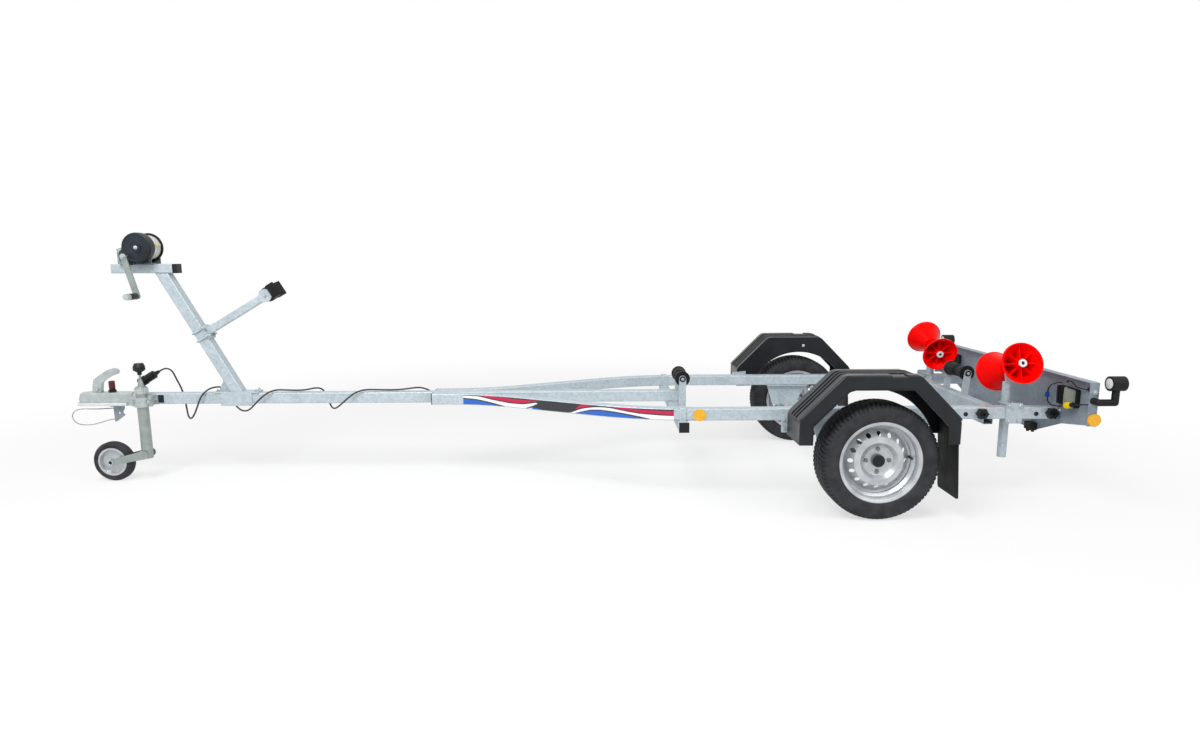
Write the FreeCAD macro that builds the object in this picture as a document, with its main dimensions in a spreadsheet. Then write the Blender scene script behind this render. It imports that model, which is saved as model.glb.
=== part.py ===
# Boat trailer with a single axle, built in millimetres.
# X runs from the nose (-) to the tail (+), Y across (-Y is the trailer's left side), Z up.
# The frame's origin is on the ground, on the centre line, half way along the trailer.
# Each sub-part is drawn with the axle at X = 0 and is then shifted by half the difference
# between the reach to the nose and the reach to the tail.
import FreeCAD, Part
import math
import os
import re

V = FreeCAD.Vector

SIZES = {
    # Frame
    "nose_reach": 4200, "tail_reach": 1080,
    "tube": 60, "tube_wall": 3, "tube_corner": 6, "rail_top": 475, "rail_half": 526, "rail_tail": 985,
    "rail_start": 2216, "lap_run": 60, "bend_angle": 26, "front_bend": 900, "rear_bend": 1150,
    "drawbar_front": 4100,
    "member_reach": 882, "member_tube": 50, "member_half": 562, "cap_thick": 8, "rail_cap": 4,
    "rear_member_back": 645, "rear_member_wide": 50, "rear_member_deep": 100,
    # Axle
    "beam_lead": 130, "beam_height": 332, "beam_side": 60, "beam_half": 612, "arm_thick": 25,
    "arm_big": 44, "arm_small": 34, "spindle": 15, "spindle_long": 108, "pin_gap": 0.05,
    "plate_top_front": 238, "plate_top_rear": 8, "plate_low_front": 196, "plate_low_rear": 60,
    "plate_low": 285, "plate_thick": 6, "flange_wide": 60,
    "bracket_front": 22, "bracket_rear": 136, "bracket_low": 297,
    # Wheels
    "wheel_track": 1500, "tyre_size": 558, "tyre_width": 176, "tyre_wall": 12, "bead": 178,
    "bead_half": 66, "shoulder_half": 74, "tread_half": 60, "shoulder_drop": 14,
    "disc_foot": 146, "disc_shoulder": 114, "disc_crown": 45, "crown_out": 91, "crown_in": 77,
    "rim_lip": 195, "rim_half": 77, "rim_wall": 5, "rim_well": 165, "vent_ring": 128, "vent": 11,
    "vent_count": 16, "bead_gap": 0.3, "hub_flange": 64, "hub_body": 46, "hub_reach": 105, "hub_face": 20,
    "hub_boss": 30, "hub_boss_out": 44, "disc_wall": 6,
    # Mudguards
    "guard_in": 655, "guard_out": 880, "guard_wall": 5, "guard_low": 378, "guard_knee": 490,
    "guard_top": 692, "guard_front": 398, "guard_rear": 338, "guard_top_front": 198,
    "guard_top_rear": 138, "guard_bend": 45, "window_bend": 15, "guard_round": 9,
    "guard_band": 62, "guard_arch": 318,
    "guard_rib": 11, "guard_rib_high": 4, "guard_pad_wide": 56, "guard_pad_high": 6, "pad_gap_front": 8,
    "pad_gap_rear": 82, "guard_lip": 5, "guard_lip_out": 3,
    "flap_wide": 205, "flap_thick": 6, "flap_low": 115, "flap_lean": 16, "flap_corner": 14, "flap_clear": 20,
    "stay_wide": 40, "stay_thick": 5, "stay_front_lead": 360, "stay_rear_back": 318, "stay_high": 58,
    # Coupling
    "head_top": 481, "head_low": 408, "head_rear": 3888, "head_round": 10, "head_lip": 4,
    "head_lip_high": 12, "head_lip_rear": 4035, "ball": 25, "ball_gap": 0.2, "ball_from_nose": 40,
    "ball_deep": 42, "head_wall": 5,
    "lever_thick": 26, "lever_lead": 4117, "lever_long": 152, "lever_high": 134, "lever_round": 4,
    "lock_lead": 4012, "lock": 15, "lock_high": 60, "lock_foot": 20, "lock_foot_high": 12,
    "hook_lead": 3985, "hook_long": 60, "hook_low": 312, "hook_thick": 6,
    # Jockey wheel
    "stand_lead": 3797, "stand_side": 94, "stand_tube": 57, "stand_low": 168, "collar_low": 487,
    "collar_high": 520, "collar_wide": 62, "cone_low": 528, "cone_high": 566, "cone_wide": 32,
    "cone_top_wide": 18, "clamp_low": 416, "clamp_high": 470, "clamp_long": 106, "clamp_wall": 9,
    "clamp_lug": 16, "clamp_bolt": 5, "bolt_inset": 9, "slide_gap": 0.5,
    "knob_low": 592, "knob_rim_low": 618, "knob_high": 655, "knob_wide": 60, "knob_neck": 11,
    "knob_spindle": 6,
    "trail": 184, "jockey_wheel": 220, "jockey_width": 60, "jockey_rim": 78,
    "jockey_lip_half": 24, "jockey_hub": 22,
    "jockey_axle": 8, "fork_thick": 5, "fork_gap": 6, "fork_wide": 46, "fork_tip": 17, "elbow_high": 150,
    # Winch post and winch
    "post_foot": 3311, "post_lean": 28.4, "post_top": 1137, "post_plate": 244, "post_plate_thick": 8,
    "post_cheek": 172, "post_cheek_low": 404, "gusset_front": 3419, "gusset_high": 555,
    "arm_tube": 50, "arm_front": 3935, "arm_rear": 3605, "arm_cap": 26,
    "winch_lead": 3752, "winch_height": 1275, "winch_cover": 79, "cover_round": 7, "cover_out": 88,
    "cover_boss": 24, "cover_boss_out": 4, "cover_lobe": 47, "lobe_drop": 12, "cover_foot_front": 3792,
    "cover_foot_rear": 3700, "cover_foot_high": 24, "cover_foot_deep": 24,
    "strap_roll": 64, "drum_flange": 78, "drum_half": 38, "side_plate": 3, "drum_gap": 6,
    "crank_lead": 3808, "crank_height": 1228, "crank_radius": 215, "crank_angle": 14.4, "crank_wide": 33,
    "crank_thick": 7, "crank_out": 112, "handle": 15, "handle_long": 100, "winch_shaft": 9,
    "winch_plate_front": 3880, "winch_plate_rear": 3700, "winch_plate_above": 27,
    "winch_plate_front_high": 80,
    # Bow stop
    "bow_grip": 800, "bow_tube": 40, "bow_angle": 30.5, "bow_long": 395, "bow_plate_half": 42,
    "bow_rod": 5, "bow_rod_apart": 48, "rod_bend": 9, "rod_end": 18,
    "ear": 36, "ear_thick": 6, "bow_seat": 37, "bow_block_wide": 90, "bow_block_thick": 48,
    "bow_block_side": 78,
    # Keel rollers
    "keel_lead": 19, "keel_rear_lead": 34, "keel_front_height": 554, "keel_rear_height": 577,
    "keel_roller": 41, "keel_long": 196, "keel_bore": 8, "keel_waist": 30, "keel_flange": 14, "keel_step": 5,
    "bracket_wide": 38,
    "bracket_thick": 5, "bracket_gap": 6, "bracket_base": 60,
    # Support cones
    "cone_post_back": 765, "cone_post": 44, "cone_post_low": 200, "cone_height": 663, "cone_tilt": 18,
    "cone_big": 102, "cone_small": 38, "cone_long": 122, "cone_wall": 7, "cone_clear": 8,
    "cone_running": 5, "cone_blade": 68, "cone_floor": 21, "cone_mouth": 11,
    "cone_shaft": 10, "cone_ribs": 8, "cone_rib": 4, "rib_sunk": 8, "cone_plate": 82, "cone_plate_high": 104,
    "cone_plate_thick": 6, "cone_plate_corner": 8, "clamp_rod": 4, "clamp_rod_lift": 5, "clamp_rod_end": 16,
    # Light board
    "board_front": 955, "board_half": 800, "board_top": 645, "board_low": 440,
    "board_knee": 396, "board_deep": 312,
    "board_deep_half": 330, "board_deep_run": 215, "board_wall": 3, "board_lip": 40, "slide_bar": 28,
    "slide_long": 640, "slide_bush": 20, "lamp_long": 220, "lamp_high": 100, "lamp_deep": 42,
    "lamp_inset": 200, "lamp_round": 10, "lamp_back_long": 150, "lamp_back_deep": 18, "lamp_back_drop": 4,
    "plate_lamp_side": 315, "plate_lamp_long": 62, "plate_lamp_high": 40, "plate_lamp_deep": 34,
    "number_plate_half": 262, "number_plate_high": 116,
    "marker_round": 34, "marker_long": 66, "marker_low": 560, "marker_out": 40, "marker_height": 648,
    "marker_arm": 32, "reflector": 30, "reflector_thick": 8, "reflector_back": 80, "knob": 24,
    "knob_lobe": 5, "knob_lobes": 6, "knob_deep": 26, "knob_boss": 12, "knob_boss_out": 6,
    "knob_front": 602, "knob_rear": 950, "saddle_wide": 30, "saddle_thick": 5,
    # Cable and plug
    "cable": 9, "wire": 6, "plug_round": 23, "plug_long": 58, "plug_neck": 15, "plug_tail": 7.2,
    "plug_sleeve": 34,
    "plug_nose": 26, "plug_nose_long": 34,
    # Cuts run this far past the faces they open
    "past": 10,
}

doc = FreeCAD.newDocument("boat_trailer")
sheet = doc.addObject("Spreadsheet::Sheet", "Sizes")
for row, (alias, number) in enumerate(SIZES.items(), start=1):
    sheet.set(f"A{row}", alias)
    sheet.set(f"B{row}", str(number))
    sheet.setAlias(f"B{row}", alias)
doc.recompute()

# An arc takes this share of the shorter of its two runs
CORNER_SHARE = 0.45
# The bottom of the bow block's V stands this share of its thickness from its back
BLOCK_NOTCH_SHARE = 0.45
# Lines whose directions have at least this cosine between them count as parallel
PARALLEL = 0.999
# The left edges of the guard's three ribs, as shares of its width from its inner wall
GUARD_RIB_SHARES = (0.24, 0.41, 0.58)
# The ball cup's outline above its foot: shares of its radius, and of the coupling's height
CUP_SHARES = ((1.0, 0.55), (0.8, 0.88), (0.45, 1.0))
# The coupling lever seen from the side: shares of its length and of its height
LEVER_SHARES = ((0.0, 0.0), (0.04, 0.28), (0.09, 0.53), (0.34, 0.74), (0.62, 0.93), (0.81, 1.0), (0.95, 0.95),
                (1.0, 0.86), (0.93, 0.75), (0.72, 0.67), (0.46, 0.5), (0.36, 0.38), (0.32, 0.0))
# The bar under the coupling seen from the side: shares of its length and of its height
HOOK_SHARES = ((0.0, 1.0), (1.0, 1.0), (1.0, 0.78), (0.8, 0.55), (1.0, 0.38), (0.15, 0.0), (0.0, 0.0))
# The black bracket at the axle's arm: shares of its run and of its height
BRACKET_SHARES = ((0.0, 1.0), (1.0, 1.0), (1.0, 0.45), (0.72, 0.0), (0.2, 0.0), (0.0, 0.3), (0.12, 0.6))
# The collar's top edge and the knob's dome lean in by this share of their radius
DOME_SHARE = 0.75

AXLE_X = "(nose_reach - tail_reach)/2"
NODES = []


class FromSheet:
    """Reads a driving dimension from the sheet by its alias."""

    def __getattr__(self, alias):
        return float(sheet.get(alias))


S = FromSheet()


def bind(obj, prop, text):
    """Bind a property to a formula in which every alias stands for its cell."""
    names = re.sub(r"[a-z][a-z_]*", lambda word: f"Sizes.{word[0]}" if word[0] in SIZES else word[0], text)
    obj.setExpression(prop, names)


def place(obj, x="0", y="0", z="0"):
    for letter, text in zip("xyz", (x, y, z)):
        bind(obj, f"Placement.Base.{letter}", text)
    return obj


def node(obj, label, x="0", y="0", z="0"):
    """Name a finished sub-part and shift it so that the axle stands at its place."""
    obj.Label = label
    place(obj, f"{AXLE_X} + {x}", y, z)
    NODES.append(obj)
    return obj


def box(name, x, y, z, long, wide, high):
    """A box with its low corner at x, y, z."""
    solid = doc.addObject("Part::Box", name)
    for prop, text in zip(("Length", "Width", "Height"), (long, wide, high)):
        bind(solid, prop, text)
    return place(solid, x, y, z)


TURNS = {"x": (V(0, 1, 0), 90), "y": (V(1, 0, 0), -90), "z": (V(0, 0, 1), 0)}


def cylinder(name, along, x, y, z, radius, long):
    """A cylinder that starts at x, y, z and runs along one axis."""
    solid = doc.addObject("Part::Cylinder", name)
    solid.Placement = FreeCAD.Placement(V(0, 0, 0), FreeCAD.Rotation(*TURNS[along]))
    bind(solid, "Radius", radius)
    bind(solid, "Height", long)
    return place(solid, x, y, z)


def cut(name, base, tool):
    result = doc.addObject("Part::Cut", name)
    result.Base, result.Tool = base, tool
    return result


def fuse(name, *shapes):
    result = doc.addObject("Part::MultiFuse", name)
    result.Shapes = list(shapes)
    return result


def group(name, *shapes):
    """Solids of one node that do not touch each other."""
    result = doc.addObject("Part::Compound", name)
    result.Links = list(shapes)
    return result


def feature(name, shape):
    solid = doc.addObject("Part::Feature", name)
    solid.Shape = shape
    return solid


def corner_box(low, high):
    """A box between its lowest and its highest corner."""
    size = high - low
    return Part.makeBox(size.x, size.y, size.z, low)


def prism(points, direction):
    """The solid swept by a closed outline along a vector."""
    return Part.Face(Part.makePolygon(points + points[:1])).extrude(direction)


def turned(outline, name):
    """A solid turned about Y from an outline of (radius, distance along Y) points."""
    face = Part.Face(Part.makePolygon([V(r, a, 0) for r, a in outline + outline[:1]]))
    return feature(name, face.revolve(V(0, 0, 0), V(0, 1, 0), 360))


def bent(points, radius):
    """Straight runs through a list of points, each corner between them an arc of one radius."""
    edges, here = [], points[0]
    for before, corner, after in zip(points, points[1:], points[2:]):
        back, ahead = (before - corner).normalize(), (after - corner).normalize()
        half_angle = back.getAngle(ahead) / 2
        run = radius / math.tan(half_angle)
        first, last = corner + back * run, corner + ahead * run
        middle = corner + (back + ahead).normalize() * (radius / math.sin(half_angle) - radius)
        edges += [Part.LineSegment(here, first), Part.Arc(first, middle, last)]
        here = last
    return edges + [Part.LineSegment(here, points[-1])]


def rounded(points, radius):
    """The edges round a closed outline whose corners are arcs of one radius."""
    start = (points[0] + points[-1]) * 0.5
    return bent([start] + points + [start], radius)


def face(edges):
    return Part.Face(Part.Wire([edge.toShape() for edge in edges]))


def rod(points, bend, radius):
    """A round bar bent round the corners of a path."""
    edges = bent(points, bend)
    route = Part.Wire([edge.toShape() for edge in edges])
    section = Part.Wire(Part.Circle(points[0], points[1] - points[0], radius).toShape())
    return route.makePipeShell([section], True, True)


def soften(solid, radius, along, wanted=lambda edge: True):
    """Round the solid's straight edges that run along one direction, or those wanted among them."""
    edges = [edge for edge in solid.Edges if edge.Curve.TypeId == "Part::GeomLine"
             and abs(edge.tangentAt(edge.FirstParameter).dot(along)) > PARALLEL and wanted(edge)]
    return solid.makeFillet(radius, edges)


def upright(name, profile):
    """A solid turned about Z from an outline of (radius, height) points."""
    return feature(name, face(outline([V(r, 0, z) for r, z in profile])).revolve(V(0, 0, 0), V(0, 0, 1), 360))


def sketch(body, name, plane, edges, offset="0"):
    """A sketch on one of the body's own planes, lifted along that plane's normal."""
    drawing = body.newObject("Sketcher::SketchObject", name)
    origin = next(part for part in body.Origin.OriginFeatures if part.Role == plane)
    drawing.AttachmentSupport = (origin, [""])
    drawing.MapMode = "FlatFace"
    bind(drawing, "AttachmentOffset.Base.z", offset)
    for edge in edges:
        drawing.addGeometry(edge, False)
    return drawing


def outline(points):
    """Straight edges round a closed outline."""
    return [Part.LineSegment(a, b) for a, b in zip(points, points[1:] + points[:1])]


def square(half):
    return outline([V(-half, -half), V(half, -half), V(half, half), V(-half, half)])


def tube_body(name, plane, wide, high, long):
    """A tube with round outer corners, padded both ways from its middle."""
    body = doc.addObject("PartDesign::Body", f"Body_{name}")
    half_wide, half_high, wall = wide / 2, high / 2, S.tube_wall
    corners = [V(-half_wide, -half_high), V(half_wide, -half_high), V(half_wide, half_high),
               V(-half_wide, half_high)]
    inner = [V(p.x - math.copysign(wall, p.x), p.y - math.copysign(wall, p.y)) for p in corners]
    section = sketch(body, f"Section_{name}", plane, rounded(corners, S.tube_corner) + outline(inner))
    pad = body.newObject("PartDesign::Pad", f"Pad_{name}")
    pad.Profile = section
    pad.Midplane = True
    bind(pad, "Length", long)
    body.Tip = pad
    return body


def drawbar():
    bar = tube_body("Drawbar", "YZ_Plane", S.tube, S.tube, "drawbar_front - member_reach + member_tube/2")
    node(bar, "drawbar", "-(drawbar_front + member_reach - member_tube/2)/2", "0", "rail_top - tube/2")


def rail_bends():
    """The rail's angle in the slant, the slant's length, and where the second bend ends."""
    turn = math.radians(S.bend_angle)
    across = S.rail_half - S.tube / 2 - S.tube
    slant = (across - (S.front_bend + S.rear_bend) * (1 - math.cos(turn))) / math.sin(turn)
    end = -S.rail_start + S.lap_run + (S.front_bend + S.rear_bend) * math.sin(turn) + slant * math.cos(turn)
    return turn, slant, end


def side_rail(side, label):
    """A square tube bent outwards from the drawbar and back parallel with it."""
    turn, slant, _ = rail_bends()
    near, far = S.tube, S.rail_half - S.tube / 2
    start = V(-S.rail_start, near)
    first = start + V(S.lap_run, 0)
    first_mid = first + V(math.sin(turn / 2), 1 - math.cos(turn / 2)) * S.front_bend
    second = first + V(math.sin(turn), 1 - math.cos(turn)) * S.front_bend
    third = second + V(math.cos(turn), math.sin(turn)) * slant
    last = V(third.x + S.rear_bend * math.sin(turn), far)
    last_mid = last - V(math.sin(turn / 2), 1 - math.cos(turn / 2)) * S.rear_bend
    tail = V(S.rail_tail, far)
    points = [V(p.x, side * p.y) for p in (start, first, first_mid, second, third, last_mid, last, tail)]
    start, first, first_mid, second, third, last_mid, last, tail = points
    body = doc.addObject("PartDesign::Body", f"Body_{label}")
    route = sketch(body, f"Route_{label}", "XY_Plane", [
        Part.LineSegment(start, first), Part.Arc(first, first_mid, second),
        Part.LineSegment(second, third), Part.Arc(third, last_mid, last),
        Part.LineSegment(last, tail)], "rail_top - tube/2")
    half = S.tube / 2
    inner = half - S.tube_wall
    middle = V(side * near, S.rail_top - half)
    corners = [middle + V(across * half, up * half) for across, up in ((-1, -1), (1, -1), (1, 1), (-1, 1))]
    edges = rounded(corners, S.tube_corner)
    edges += [Part.LineSegment(e.StartPoint + middle, e.EndPoint + middle) for e in square(inner)]
    profile = sketch(body, f"Section_{label}", "YZ_Plane", edges, "-rail_start")
    pipe = body.newObject("PartDesign::AdditivePipe", f"Pipe_{label}")
    pipe.Profile = profile
    pipe.Spine = (route, [f"Edge{i}" for i in range(1, 6)])
    body.Tip = pipe
    node(body, label)


def front_cross_member():
    bar = tube_body("FrontMember", "XZ_Plane", S.member_tube, S.member_tube, "2*member_half")
    node(bar, "front_cross_member", "-member_reach", "0", "rail_top - tube - member_tube/2")


def end_caps():
    caps = [box(f"MemberCap{side}", "-member_reach - member_tube/2",
                "member_half" if side > 0 else "-member_half - cap_thick",
                "rail_top - tube - member_tube", "member_tube", "cap_thick", "member_tube")
            for side in (-1, 1)]
    for name, low in (("Left", "-3*tube/2"), ("Right", "tube/2")):
        caps.append(box(f"RailCap{name}", "-rail_start - rail_cap", low, "rail_top - tube", "rail_cap",
                        "tube", "tube"))
    caps.append(box("WinchBeamCap", "-arm_rear", "-arm_tube/2", "post_top", "arm_cap", "arm_tube",
                    "arm_tube"))
    node(group("EndCaps", *caps), "end_caps")


def rear_cross_member():
    bar = tube_body("RearMember", "XZ_Plane", S.rear_member_wide, S.rear_member_deep, "2*(rail_half - tube)")
    node(bar, "rear_cross_member", "rear_member_back + rear_member_wide/2", "0",
         "rail_top - rear_member_deep/2")


def member_saddles():
    """Folded straps over the rails, welded down on the front cross member, turned with the rails' bend."""
    saddles = []
    heel = math.asin((rail_bends()[2] + S.member_reach) / S.rear_bend)
    middle = S.rail_half - S.tube / 2 - S.rear_bend * (1 - math.cos(heel))
    inner, low, thick = S.tube / 2 + S.bead_gap, S.rail_top - S.tube, S.saddle_thick
    points = [(inner + thick, low), (inner + thick, S.rail_top + thick), (-inner - thick, S.rail_top + thick),
              (-inner - thick, low), (-inner, low), (-inner, S.rail_top), (inner, S.rail_top), (inner, low)]
    for side in (-1, 1):
        strap = prism([V(-S.saddle_wide / 2, y, z) for y, z in points], V(S.saddle_wide, 0, 0))
        strap = soften(strap, thick, V(1, 0, 0), lambda edge: edge.CenterOfMass.z > S.rail_top + thick / 2)
        strap.Placement = FreeCAD.Placement(V(-S.member_reach, side * middle, 0),
                                            FreeCAD.Rotation(V(0, 0, 1), side * math.degrees(heel)))
        saddles.append(strap)
    node(feature("Saddles", Part.makeCompound(saddles)), "member_saddles")


def link_plate(one, other, one_radius, other_radius, across):
    """A plate round two bosses, joined by its straight sides, pushed along Y."""
    along = (other - one).normalize()
    square_to = V(-along.z, 0, along.x)
    web = [one + square_to * one_radius, other + square_to * other_radius,
           other - square_to * other_radius, one - square_to * one_radius]
    solid = prism(web, across)
    for point, radius in ((one, one_radius), (other, other_radius)):
        solid = solid.fuse(Part.makeCylinder(radius, across.Length, point, across))
    return solid.removeSplitter()


def axle():
    """The square torsion beam with a trailing arm and a wheel spindle at each end."""
    half = S.beam_side / 2
    beam = Part.makeBox(S.beam_side, 2 * S.beam_half, S.beam_side,
                        V(-S.beam_lead - half, -S.beam_half, S.beam_height - half))
    beam = soften(beam, S.tube_corner, V(0, 1, 0))
    inner = half - S.tube_wall
    beam = beam.cut(Part.makeBox(2 * inner, 2 * S.beam_half, 2 * inner,
                                 V(-S.beam_lead - inner, -S.beam_half, S.beam_height - inner)))
    for side in (-1, 1):
        root = V(-S.beam_lead, side * S.beam_half, S.beam_height)
        tip = V(0, side * S.beam_half, S.tyre_size / 2)
        arm = link_plate(root, tip, S.arm_big, S.arm_small, V(0, side * S.arm_thick, 0))
        spindle = Part.makeCylinder(S.spindle, S.arm_thick + S.spindle_long, tip, V(0, side, 0))
        beam = beam.fuse([arm, spindle])
    node(feature("Axle", beam), "axle")


def axle_plates():
    """A folded plate under each rail, with the beam through its window."""
    solids = []
    rail_low = S.rail_top - S.tube
    for side in (-1, 1):
        middle = side * (S.rail_half - S.tube / 2)
        corners = [(-S.plate_top_front, rail_low), (S.plate_top_rear, rail_low),
                   (-S.plate_low_rear, S.plate_low), (-S.plate_low_front, S.plate_low)]
        web = prism([V(x, middle - S.plate_thick / 2, z) for x, z in corners], V(0, S.plate_thick, 0))
        flange = Part.makeBox(S.plate_top_front + S.plate_top_rear, S.flange_wide, S.plate_thick,
                              V(-S.plate_top_front, middle - S.flange_wide / 2, rail_low - S.plate_thick))
        window = S.beam_side / 2 + S.pin_gap
        hole = Part.makeBox(2 * window, S.flange_wide, 2 * window,
                            V(-S.beam_lead - window, middle - S.flange_wide / 2, S.beam_height - window))
        solids.append(web.fuse(flange).cut(hole))
    node(feature("AxlePlates", Part.makeCompound(solids)), "axle_plates")


def axle_brackets():
    """Black pressed plates that brace the axle under the inner edge of each rail."""
    plates = []
    low, high = S.bracket_low, S.rail_top - S.tube
    for side in (-1, 1):
        y = side * (S.rail_half - S.tube) - S.plate_thick / 2 + side * S.plate_thick / 2
        points = [V(S.bracket_front + (S.bracket_rear - S.bracket_front) * x, y, low + (high - low) * z)
                  for x, z in BRACKET_SHARES]
        plates.append(face(outline(points)).extrude(V(0, S.plate_thick, 0)))
    node(feature("AxleBrackets", Part.makeCompound(plates)), "axle_brackets")


def wheel_part(solid, label, side):
    """Stand a part turned about Y on its spindle, its outer face to the outside."""
    if side < 0:
        solid.Placement = FreeCAD.Placement(V(0, 0, 0), FreeCAD.Rotation(V(0, 0, 1), 180))
    node(solid, label, "0", f"{side}*wheel_track/2", "tyre_size/2")


def hub(side, label):
    bore = S.spindle + S.pin_gap
    back, face = -S.hub_reach, S.hub_face
    flange_back = face - S.disc_wall * 2
    end = back + S.spindle_long + S.past / 2
    profile = [(bore, back), (S.hub_body, back), (S.hub_body, flange_back), (S.hub_flange, flange_back),
               (S.hub_flange, face), (S.hub_boss, face), (S.hub_boss, S.hub_boss_out),
               (0, S.hub_boss_out), (0, end), (bore, end)]
    wheel_part(turned(profile, f"Hub{label}"), label, side)


def ring_of(body, original, name, count):
    """Repeat a feature in a ring round the body's Y axis."""
    ring = body.newObject("PartDesign::PolarPattern", name)
    ring.Originals = [original]
    ring.Axis = (next(p for p in body.Origin.OriginFeatures if p.Role == "Y_Axis"), [""])
    ring.Angle = 360
    bind(ring, "Occurrences", count)
    body.Tip = ring


def rim(side, label):
    """A pressed disc welded in a rolled barrel, with a ring of vents through the slope."""
    lip, well, wall, edge = S.rim_lip, S.rim_well, S.rim_wall, S.rim_half
    bead, thick, bore = S.bead, S.disc_wall, S.hub_boss + S.bead_gap
    face_in, crown = S.hub_face, S.disc_crown
    outer = [(lip, edge), (lip, edge - wall), (bead + wall, S.bead_half), (bead, S.bead_half - wall),
             (bead, edge / 2), (well, edge / 3), (well, -edge / 2), (bead, -edge * 2 / 3),
             (bead, wall - S.bead_half), (bead + wall, -S.bead_half), (lip, wall - edge), (lip, -edge)]
    inner = [(lip - wall, -edge), (bead, -S.bead_half - wall), (bead - wall, -S.bead_half + wall),
             (bead - wall, -edge * 2 / 3), (well - wall, -edge / 2), (well - wall, 0),
             (S.disc_foot, 0), (S.disc_shoulder, crown - wall), (S.crown_out, crown),
             (S.crown_in, face_in + wall), (S.hub_flange, face_in), (bore, face_in),
             (bore, face_in + thick), (S.hub_flange - wall / 2, face_in + thick),
             (S.crown_in - wall, face_in + wall + thick), (S.crown_out - wall / 2, crown + thick),
             (S.disc_shoulder + wall / 2, crown - wall + thick), (S.disc_foot + wall, thick),
             (well - wall, thick * 2), (well - wall, edge / 3), (bead - wall, edge / 2),
             (bead - wall, S.bead_half - wall), (bead, S.bead_half + wall), (lip - wall, edge)]
    body = doc.addObject("PartDesign::Body", f"Body_{label}")
    drawing = sketch(body, f"Profile_{label}", "XY_Plane", outline([V(r, a) for r, a in outer + inner]))
    disc = body.newObject("PartDesign::Revolution", f"Disc_{label}")
    disc.Profile = drawing
    disc.ReferenceAxis = (drawing, ["V_Axis"])
    vent = sketch(body, f"Vent_{label}", "XZ_Plane", [Part.Circle(V(S.vent_ring, 0), V(0, 0, 1), S.vent)])
    hole = body.newObject("PartDesign::Pocket", f"Pocket_{label}")
    hole.Profile = vent
    hole.Type = 1
    hole.Midplane = True
    ring_of(body, hole, f"Vents_{label}", "vent_count")
    wheel_part(body, label, side)


def tyre(side, label):
    """A hollow low-profile tyre, widest half way up its sidewalls, seated on the rim's beads."""
    top, half, wall, gap = S.tyre_size / 2, S.tyre_width / 2, S.tyre_wall, S.bead_gap
    middle, seat = (top + S.bead) / 2, S.bead + S.bead_gap
    heel = S.bead_half - S.rim_wall - gap
    outer = [V(seat, heel), V(S.rim_lip + gap, S.rim_half - S.rim_wall - 2 * gap), V(middle, half),
             V(top - S.shoulder_drop, S.shoulder_half), V(top, S.tread_half)]
    inner = [V(top - wall, S.tread_half - wall), V(middle, half - wall), V(seat, heel - wall)]
    ring = outer + [V(p.x, -p.y) for p in reversed(outer)] + [V(p.x, -p.y) for p in reversed(inner)] + inner
    body = doc.addObject("PartDesign::Body", f"Body_{label}")
    drawing = sketch(body, f"Profile_{label}", "XY_Plane", outline(ring))
    turn = body.newObject("PartDesign::Revolution", f"Ring_{label}")
    turn.Profile = drawing
    turn.ReferenceAxis = (drawing, ["V_Axis"])
    body.Tip = turn
    wheel_part(body, label, side)


def guard_line(inset, low):
    """The guard's side view from its front foot over the top to its rear foot, drawn in by an inset.

    Each corner moves along the bisector of its two runs, so that every run moves by the inset.
    """
    line = [V(x, 0, z) for x, z in (
        (-S.guard_front, low), (-S.guard_front, S.guard_knee), (-S.guard_top_front, S.guard_top),
        (S.guard_top_rear, S.guard_top), (S.guard_rear, S.guard_knee), (S.guard_rear, low))]
    runs = [(after - before).normalize() for before, after in zip(line, line[1:])]
    inward = [V(run.z, 0, -run.x) for run in runs]
    return [point + (one + other) * (inset / (1 + one.dot(other)))
            for point, one, other in zip(line, inward[:1] + inward, inward + inward[-1:])]


def guard_block(side, inset, low, start, end, bend):
    """The block inside the guard's side view, its bends round, over a stretch across the trailer."""
    points = [point + V(0, side * start, 0) for point in guard_line(inset, low)]
    edges = bent(points, bend) + [Part.LineSegment(points[-1], points[0])]
    return face(edges).extrude(V(0, side * (end - start), 0))


def round_outside(block, side):
    """Round the edges between the block's outer side and what runs over the wheel."""
    outside, near = side * S.guard_out, S.pin_gap
    edges = [edge for edge in block.Edges if abs(edge.BoundBox.YMin - outside) < near
             and abs(edge.BoundBox.YMax - outside) < near and edge.BoundBox.ZMax > S.guard_low + near]
    return block.makeFillet(S.guard_round, edges)


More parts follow.
